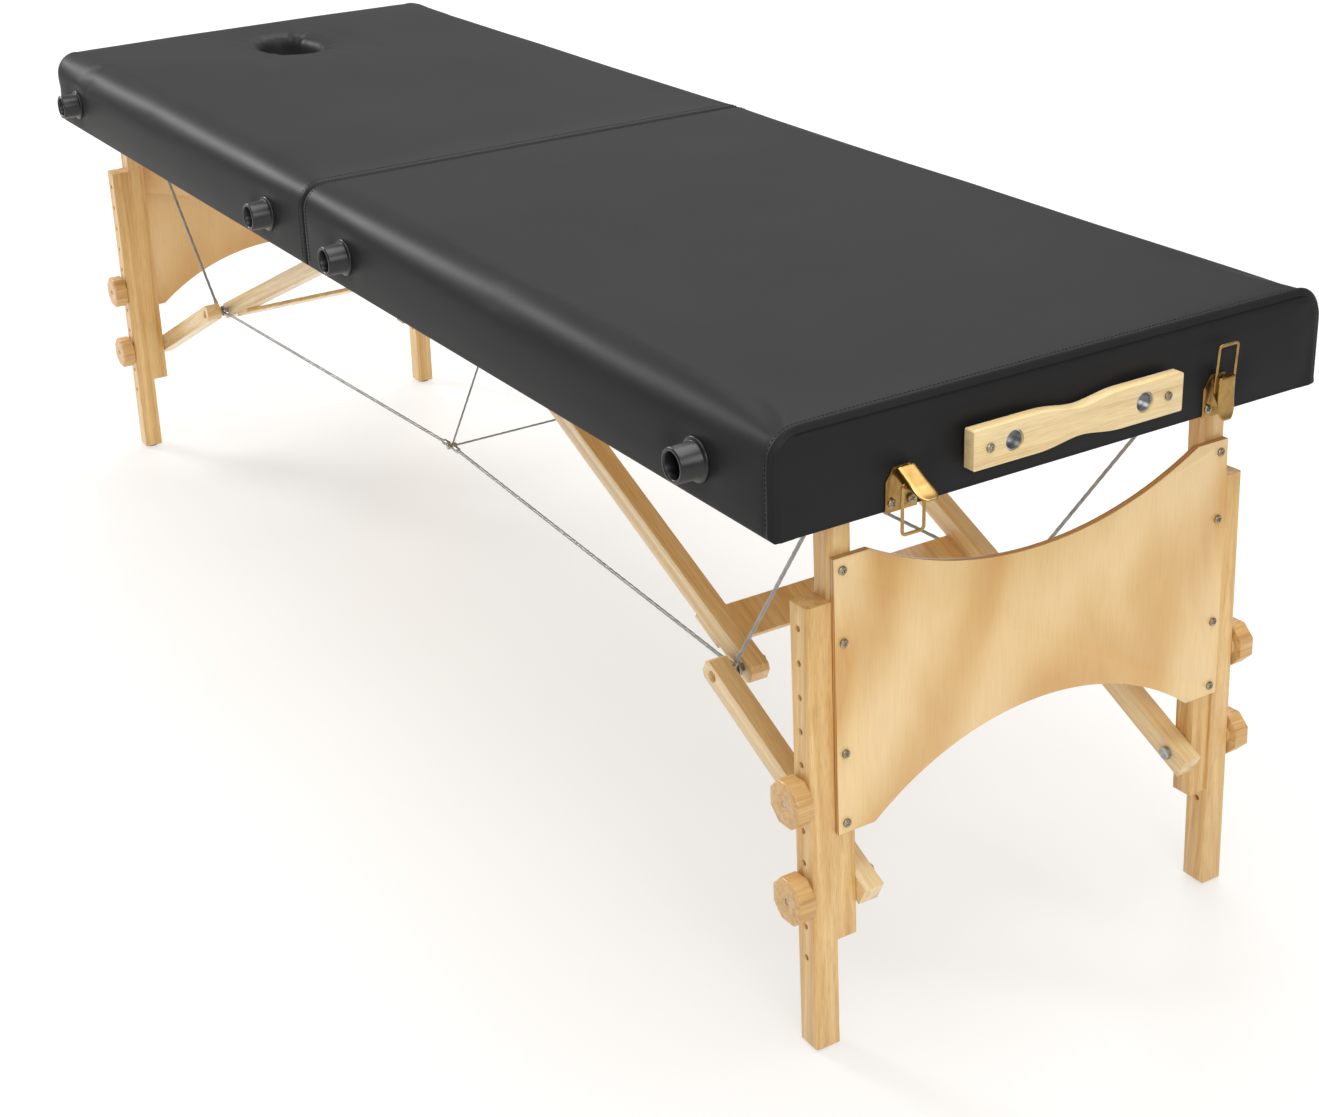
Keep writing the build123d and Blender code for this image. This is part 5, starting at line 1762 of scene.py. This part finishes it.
@dataclass
class Leg:
    """One wooden leg frame: posts, shaped panel, extensions, knobs, braces, links and crossbar."""

    finishes: Finishes
    fasteners: Fasteners
    end: End
    hinge_x: float
    pivot: tuple[float, float] = (864.875 * MM, 541.5 * MM)
    splay: float = math.radians(1.547)
    panel_out: float = 17.5 * MM
    screw_heights: Sequence[float] = (463.5 * MM, 397.5 * MM, 293.5 * MM, 226.5 * MM)
    screw_y: float = 212.0 * MM

    def at(self, out: float, y: float, height: float) -> Vector:
        """A point of the splayed leg: out from its centreline, across, and at a height down it.

        Args:
            out: from the centreline, along the table.
            y: across the table.
            height: along the leg, as a height.

        Returns:
            The point.
        """
        down = (height - self.pivot[1]) / math.cos(self.splay)
        distance = self.pivot[0] + out * math.cos(self.splay) - down * math.sin(self.splay)
        rise = self.pivot[1] + out * math.sin(self.splay) + down * math.cos(self.splay)
        return Vector((self.hinge_x + self.end.value * distance, y, rise))

    def build(self, nodes: dict[str, bpy.types.Object]) -> None:
        """Builds every piece of the leg.

        Args:
            nodes: the frame's CAD nodes by name.
        """
        word = self.end.word
        finishes = self.finishes
        wooden = [
            ("inner_posts", "leg", finishes.post, 1.1, "hardwood_post"),
            ("end_panel", "leg", finishes.plywood, 0.7, "birch_ply"),
            ("upper_braces", "braces", finishes.strut[self.end], 2.4, "hardwood_post"),
            ("crossbar", "braces", finishes.strut[self.end], 0.8, "hardwood_post"),
            ("lower_links", "links", finishes.link[self.end], 2.4, "hardwood_post"),
        ]
        for near_or_far in (side.word for side in Side):
            post, body = f"{near_or_far}_outer_post", f"{near_or_far}_extension"
            wooden.append((post, body, finishes.post, 1.2, "hardwood_post"))
            for knob in (f"{near_or_far}_upper_knob", f"{near_or_far}_lower_knob"):
                wooden.append((knob, f"{knob}_body", finishes.knob, 1.0, "knob_beech"))
        for part, body, material, width, slot in wooden:
            piece = eased_copy(nodes[f"{word}_{part}"], f"{word}_{body}", material, width)
            LOG.info("timber %s", piece.name)
        for part in ("leg_fasteners", "knee_bolts"):
            dress(nodes[f"{word}_{part}"], finishes.steel)
        for side in Side:
            dress(nodes[f"{word}_{side.word}_glide"], finishes.moulding)
        way = Vector((self.end.value * math.cos(self.splay), 0, math.sin(self.splay)))
        points = [
            self.at(self.panel_out, side.value * self.screw_y, height)
            for side in Side
            for height in self.screw_heights
        ]
        self.fasteners.set_in(f"{word}_panel_screws", f"{word}_leg", points, way)


@dataclass
class Latch:
    """The moving parts of one draw latch: a pressed lever with a spoon tip, and a loop of flat wire."""

    finishes: Finishes
    side: Side
    hinge_x: float
    face: float = 910.0 * MM
    middle_y: float = 173.0 * MM
    pivot: tuple[float, float] = (9.0 * MM, 552.0 * MM)  # out from the end face, and height
    hook_along: float = 9.0 * MM
    lever_from: float = -5.5 * MM
    lever_to: float = 34.5 * MM
    lever_half: float = 9.0 * MM
    lever_face: float = 4.7 * MM
    ear_depth: float = 7.0 * MM
    sheet: float = 1.3 * MM
    loop_length: float = 44.0 * MM
    loop_half: float = 10.9 * MM
    wire: tuple[float, float] = (3.0 * MM, 1.6 * MM)

    @property
    def opened(self) -> float:
        """How far the lever stands open, in radians."""
        return math.radians(60.0 if self.side is Side.NEAR else 0.0)

    @property
    def turned_up(self) -> float:
        """How far the loop is turned from hanging, in radians."""
        return math.radians(0.0 if self.side is Side.NEAR else 176.0)

    def lever_point(self, along: float, across: float, out: float) -> Vector:
        """A point of the lever, from its pivot.

        Args:
            along: down the lever.
            across: across the table.
            out: away from the lever's plane.

        Returns:
            The point.
        """
        way = Vector((math.sin(self.opened), 0, -math.cos(self.opened)))
        lift = Vector((math.cos(self.opened), 0, math.sin(self.opened)))
        x = self.hinge_x + self.face + self.pivot[0]
        pivot = Vector((x, self.side.value * self.middle_y, self.pivot[1]))
        return pivot + way * along + lift * out + Y_AXIS * across

    def lever(self) -> bpy.types.Object:
        """Builds the lever from one pressed sheet.

        Returns:
            The lever.
        """
        rows, columns = 17, 13
        points, faces = [], []
        for i in range(rows):
            along = self.lever_from + (self.lever_to - self.lever_from) * i / (rows - 1)
            tip = max((along - 24 * MM) / (self.lever_to - 24 * MM), 0.0)
            half = self.lever_half * math.sqrt(max(1 - 0.86 * tip**2, 0.05))
            depth = self.ear_depth * (1 - min(max((along - 12 * MM) / (7 * MM), 0), 1)) + 0.9 * MM
            for k in range(columns):
                if k < 3 or k > columns - 4:
                    down = depth * (1, 0.5, 0.12)[min(k, columns - 1 - k)]
                    across = half if k > 3 else -half
                else:
                    down, across = 0.0, half * (0.9 * (2 * (k - 3) / (columns - 7) - 1))
                bend = 2.2 * MM * tip**2 - 0.5 * MM * math.exp(-(((along - 19 * MM) / (3 * MM)) ** 2))
                points.append(self.lever_point(along, across, self.lever_face - down + bend))
        for i in range(rows - 1):
            for k in range(columns - 1):
                a = i * columns + k
                faces.append((a, a + 1, a + columns + 1, a + columns))
        mesh = mesh_from(f"{self.side.word}_lever_sheet", points, faces)
        piece = make_object(f"{self.side.word}_latch_lever_finish", mesh, self.finishes.brass)
        wall = piece.modifiers.new("sheet", "SOLIDIFY")
        wall.thickness, wall.offset = self.sheet, 0.0
        finer = piece.modifiers.new("pressed", "SUBSURF")
        finer.levels = finer.render_levels = 1
        settle(piece)
        outward(piece.data)
        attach(piece, f"{self.side.word}_lever")
        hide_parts(f"{self.side.word}_latch_lever")
        return piece

    def loop(self) -> bpy.types.Object:
        """Builds the loop of flat wire, with rounded corners.

        Returns:
            The loop.
        """
        hook = self.lever_point(self.hook_along, 0.0, 0.0)
        way = Vector((math.sin(self.turned_up), 0, -math.cos(self.turned_up)))
        corner, half, length = 3.5 * MM, self.loop_half, self.loop_length
        flat = [(-7.6 * MM, 0.0)]
        for x, y, start in ((-half, 0.0, 90), (-half, length, 180), (half, length, 270), (half, 0.0, 0)):
            inner = Vector((x - math.copysign(corner, x), y + (corner if y == 0 else -corner)))
            for k in range(7):
                angle = math.radians(start + 90 * k / 6)
                flat.append((inner.x + corner * math.cos(angle), inner.y - corner * math.sin(angle)))
        flat.append((7.6 * MM, 0.0))
        route = [hook + Y_AXIS * x + way * y for x, y in flat]
        normal = Y_AXIS.cross(way).normalized()
        wide, thick = self.wire[0] / 2, self.wire[1] / 2
        section = []
        for k in range(12):
            x, y = math.cos(2 * math.pi * (k + 0.5) / 12), math.sin(2 * math.pi * (k + 0.5) / 12)
            rounded_x, rounded_y = math.copysign(abs(x) ** 0.5, x), math.copysign(abs(y) ** 0.5, y)
            section.append((wide * rounded_x, thick * rounded_y))
        points, faces = [], []
        for i, place in enumerate(route):
            ahead = route[min(i + 1, len(route) - 1)] - route[max(i - 1, 0)]
            aside = ahead.normalized().cross(normal)
            points += [place + aside * a + normal * b for a, b in section]
            if i:
                low = (i - 1) * 12
                for k in range(12):
                    after = (k + 1) % 12
                    faces.append((low + k, low + after, low + 12 + after, low + 12 + k))
        last = (len(route) - 1) * 12
        faces += [tuple(reversed(range(12))), tuple(last + k for k in range(12))]
        mesh = mesh_from(f"{self.side.word}_latch_loop", points, faces)
        piece = make_object(f"{self.side.word}_latch_bail_finish", mesh, self.finishes.brass)
        outward(mesh)
        sharpen(mesh, 50)
        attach(piece, f"{self.side.word}_bail")
        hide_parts(f"{self.side.word}_latch_bail")
        return piece

    def build(self) -> None:
        """Builds the lever and the loop."""
        for piece in (self.lever(), self.loop()):
            LOG.info("latch %s", piece.name)


@dataclass
class Section:
    """The hardware and the timber carcass of one section."""

    finishes: Finishes
    fasteners: Fasteners
    end: End
    hinge_x: float
    handle_front: float = 929.0 * MM
    plate_front: float = 911.5 * MM
    socket_from: float = 278.0 * MM  # where a socket's blind end lies, out from the middle
    socket_profile: Sequence[tuple[float, float]] = (
        (0, 0), (15.2, 0), (16, 0.8), (16, 19.6), (19.2, 19.6), (20, 20.2), (20, 21.2), (19.4, 22),
        (16.6, 22.2), (16.2, 22.6), (16, 42.6), (15.4, 43.6), (14.6, 44), (13.4, 44), (12.6, 43.6),
        (12, 42.6), (12, 4), (0, 4),
    )  # millimetres from the axis, and along it from the blind end

    def moulded_sockets(self) -> None:
        """Turns the flanged sockets that take an arm rest, two on each long side."""
        parts = []
        profile = [(radius * MM, along * MM) for radius, along in self.socket_profile]
        for side in Side:
            for distance, height in Cover.sockets:
                x = self.hinge_x + self.end.value * distance
                start = Vector((x, side.value * self.socket_from, height))
                parts.append(turned(profile, start, Y_AXIS * side.value, 48))
        name = f"{self.end.word}_moulded_sockets"
        piece = make_object(name, into_mesh(joined(parts), name), self.finishes.moulding)
        sharpen(piece.data, 50)
        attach(piece, f"{self.end.word}_section")
        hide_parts(f"{self.end.word}_sockets")
        LOG.info("sockets %s", piece.name)

    def build(self, nodes: dict[str, bpy.types.Object]) -> None:
        """Builds every hard piece of the section.

        Args:
            nodes: the frame's CAD nodes by name.
        """
        word, finishes = self.end.word, self.finishes
        body = f"{word}_section"
        for part, material, width, slot in (
            ("rail_frame", finishes.rail, 1.0, "frame_timber"),
            ("deck_board", finishes.deck_ply, 0.3, "birch_ply"),
        ):
            eased_copy(nodes[f"{word}_{part}"], body, material, width)
        self.moulded_sockets()
        for part in ("brackets", "section_pins", "hinge_leaves"):
            dress(nodes[f"{word}_{part}"], finishes.steel)
        dress(nodes[f"{word}_end_fasteners"], finishes.steel)
        if self.end is End.HEAD:
            eased_copy(nodes["latch_catches"], body, finishes.brass, 0.4)
            return
        eased_copy(nodes["carry_handle"], body, finishes.pine, 0.7)
        eased_copy(nodes["latch_plates"], body, finishes.brass, 0.25)
        for side in Side:
            Latch(finishes, side, self.hinge_x).build()
        handle = [
            Vector((self.hinge_x + self.handle_front, side.value * 97 * MM, 559 * MM)) for side in Side
        ]
        self.fasteners.set_in("handle_screws", body, handle, X_AXIS)
        plates = [
            Vector((self.hinge_x + self.plate_front, (side.value * 173 + y) * MM, z * MM))
            for side in Side
            for y, z in ((-10, 526), (10, 526))
        ]
        self.fasteners.set_in("latch_plate_screws", body, plates, X_AXIS)


def dress(node: bpy.types.Object, material: bpy.types.Material) -> None:
    """Gives a CAD node a better material.

    Args:
        node: the CAD node.
        material: its new finish.
    """
    if not node.material_slots:
        raise RuntimeError(f"{node.name} has no material slot")
    for place in node.material_slots:
        place.material = material


# ------------------------------------------------------------------------------------------------ studio


@dataclass
class Studio:
    """A plain pale floor, soft light and the camera."""

    floor_size: float = 40.0
    camera_at: tuple[float, float, float] = (2.16014, -1.16229, 1.23384)
    camera_turn: tuple[float, float, float] = (67.26827, 2.31973, 59.08621)  # degrees
    lens: float = 59.081
    shift: tuple[float, float] = (0.03044, -0.07131)

    def floor(self) -> None:
        """Lays the floor: matt white paper with a faint sheen."""
        half = self.floor_size / 2
        mesh = mesh_from(
            "studio_floor",
            [Vector((x, y, 0)) for x, y in ((-half, -half), (half, -half), (half, half), (-half, half))],
            [(0, 1, 2, 3)],
        )
        material, tree, shader = new_material("matt_white_paper")
        place = add_node(tree, "ShaderNodeTexCoord").outputs["Object"]
        cloud = add_node(tree, "ShaderNodeTexNoise", {"Scale": 1.4, "Detail": 2.0}, {"Vector": place})
        tint = add_ramp(tree, cloud.outputs["Fac"], ((0.3, "#918f8d"), (0.7, "#979593")))
        tree.links.new(tint, shader.inputs["Base Color"])
        shader.inputs["Roughness"].default_value = 0.42
        shader.inputs["Specular IOR Level"].default_value = 0.3
        shader.inputs["Emission Color"].default_value = linear("#fffefc")
        shader.inputs["Emission Strength"].default_value = 0.62
        make_object("studio_floor", mesh, material)

    def light(
        self,
        name: str,
        place: tuple[float, float, float],
        target: tuple[float, float, float],
        size: float,
        watts: float,
    ) -> None:
        """Hangs one square softbox.

        Args:
            name: its name.
            place: where it hangs.
            target: what it faces.
            size: its side.
            watts: its power.
        """
        lamp = bpy.data.lights.new(name, "AREA")
        lamp.shape, lamp.size, lamp.energy = "SQUARE", size, watts
        holder = bpy.data.objects.new(name, lamp)
        bpy.context.scene.collection.objects.link(holder)
        holder.location = place
        holder.rotation_euler = (Vector(target) - Vector(place)).to_track_quat("-Z", "Y").to_euler()

    def world(self) -> None:
        """Fills the room with even white light."""
        world = bpy.data.worlds.new("white_room")
        world.use_nodes = True
        background = world.node_tree.nodes["Background"]
        background.inputs["Color"].default_value = linear("#ffffff")
        background.inputs["Strength"].default_value = 0.3
        bpy.context.scene.world = world

    def camera(self) -> None:
        """Sets the camera."""
        data = bpy.data.cameras.new("camera")
        data.sensor_width, data.lens = 36.0, self.lens
        data.shift_x, data.shift_y = self.shift
        data.clip_end = 200.0
        holder = bpy.data.objects.new("camera", data)
        holder.location = self.camera_at
        holder.rotation_euler = Euler([math.radians(a) for a in self.camera_turn])
        bpy.context.scene.collection.objects.link(holder)
        bpy.context.scene.camera = holder

    def build(self) -> None:
        """Builds the studio, and shows its colours as they are, without a film curve."""
        bpy.context.scene.view_settings.view_transform = "Standard"
        self.camera()
        self.floor()
        self.world()
        self.light("ceiling_softbox", (0.4, 0.2, 3.6), (0.0, 0.0, 0.0), 3.4, 150.0)
        self.light("edge_softbox", (-3.4, -1.5, 2.3), (0.0, -0.2, 0.5), 1.0, 90.0)
        self.light("near_softbox", (4.0, -1.3, 2.4), (0.5, 0.0, 0.2), 2.0, 58.0)
        self.light("backdrop_softbox", (-3.5, 2.5, 4.5), (-6.0, 3.5, 0.0), 4.0, 420.0)


# -------------------------------------------------------------------------------------------------- main


def main() -> None:
    """Builds the whole table in order."""
    logging.basicConfig(level=logging.INFO, format="%(name)s %(message)s")
    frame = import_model()
    nodes = dict(frame["nodes"])
    hinge_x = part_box("foot_cover")[0].x - 1.0 * MM
    finishes = Finishes.build()
    Studio().build()
    Cables(finishes, hinge_x).build()
    fasteners = Fasteners(finishes)
    for end in End:
        Cover(finishes, end, hinge_x).build()
        Section(finishes, fasteners, end, hinge_x).build(nodes)
        Leg(finishes, fasteners, end, hinge_x).build(nodes)


if __name__ == "__main__":
    main()
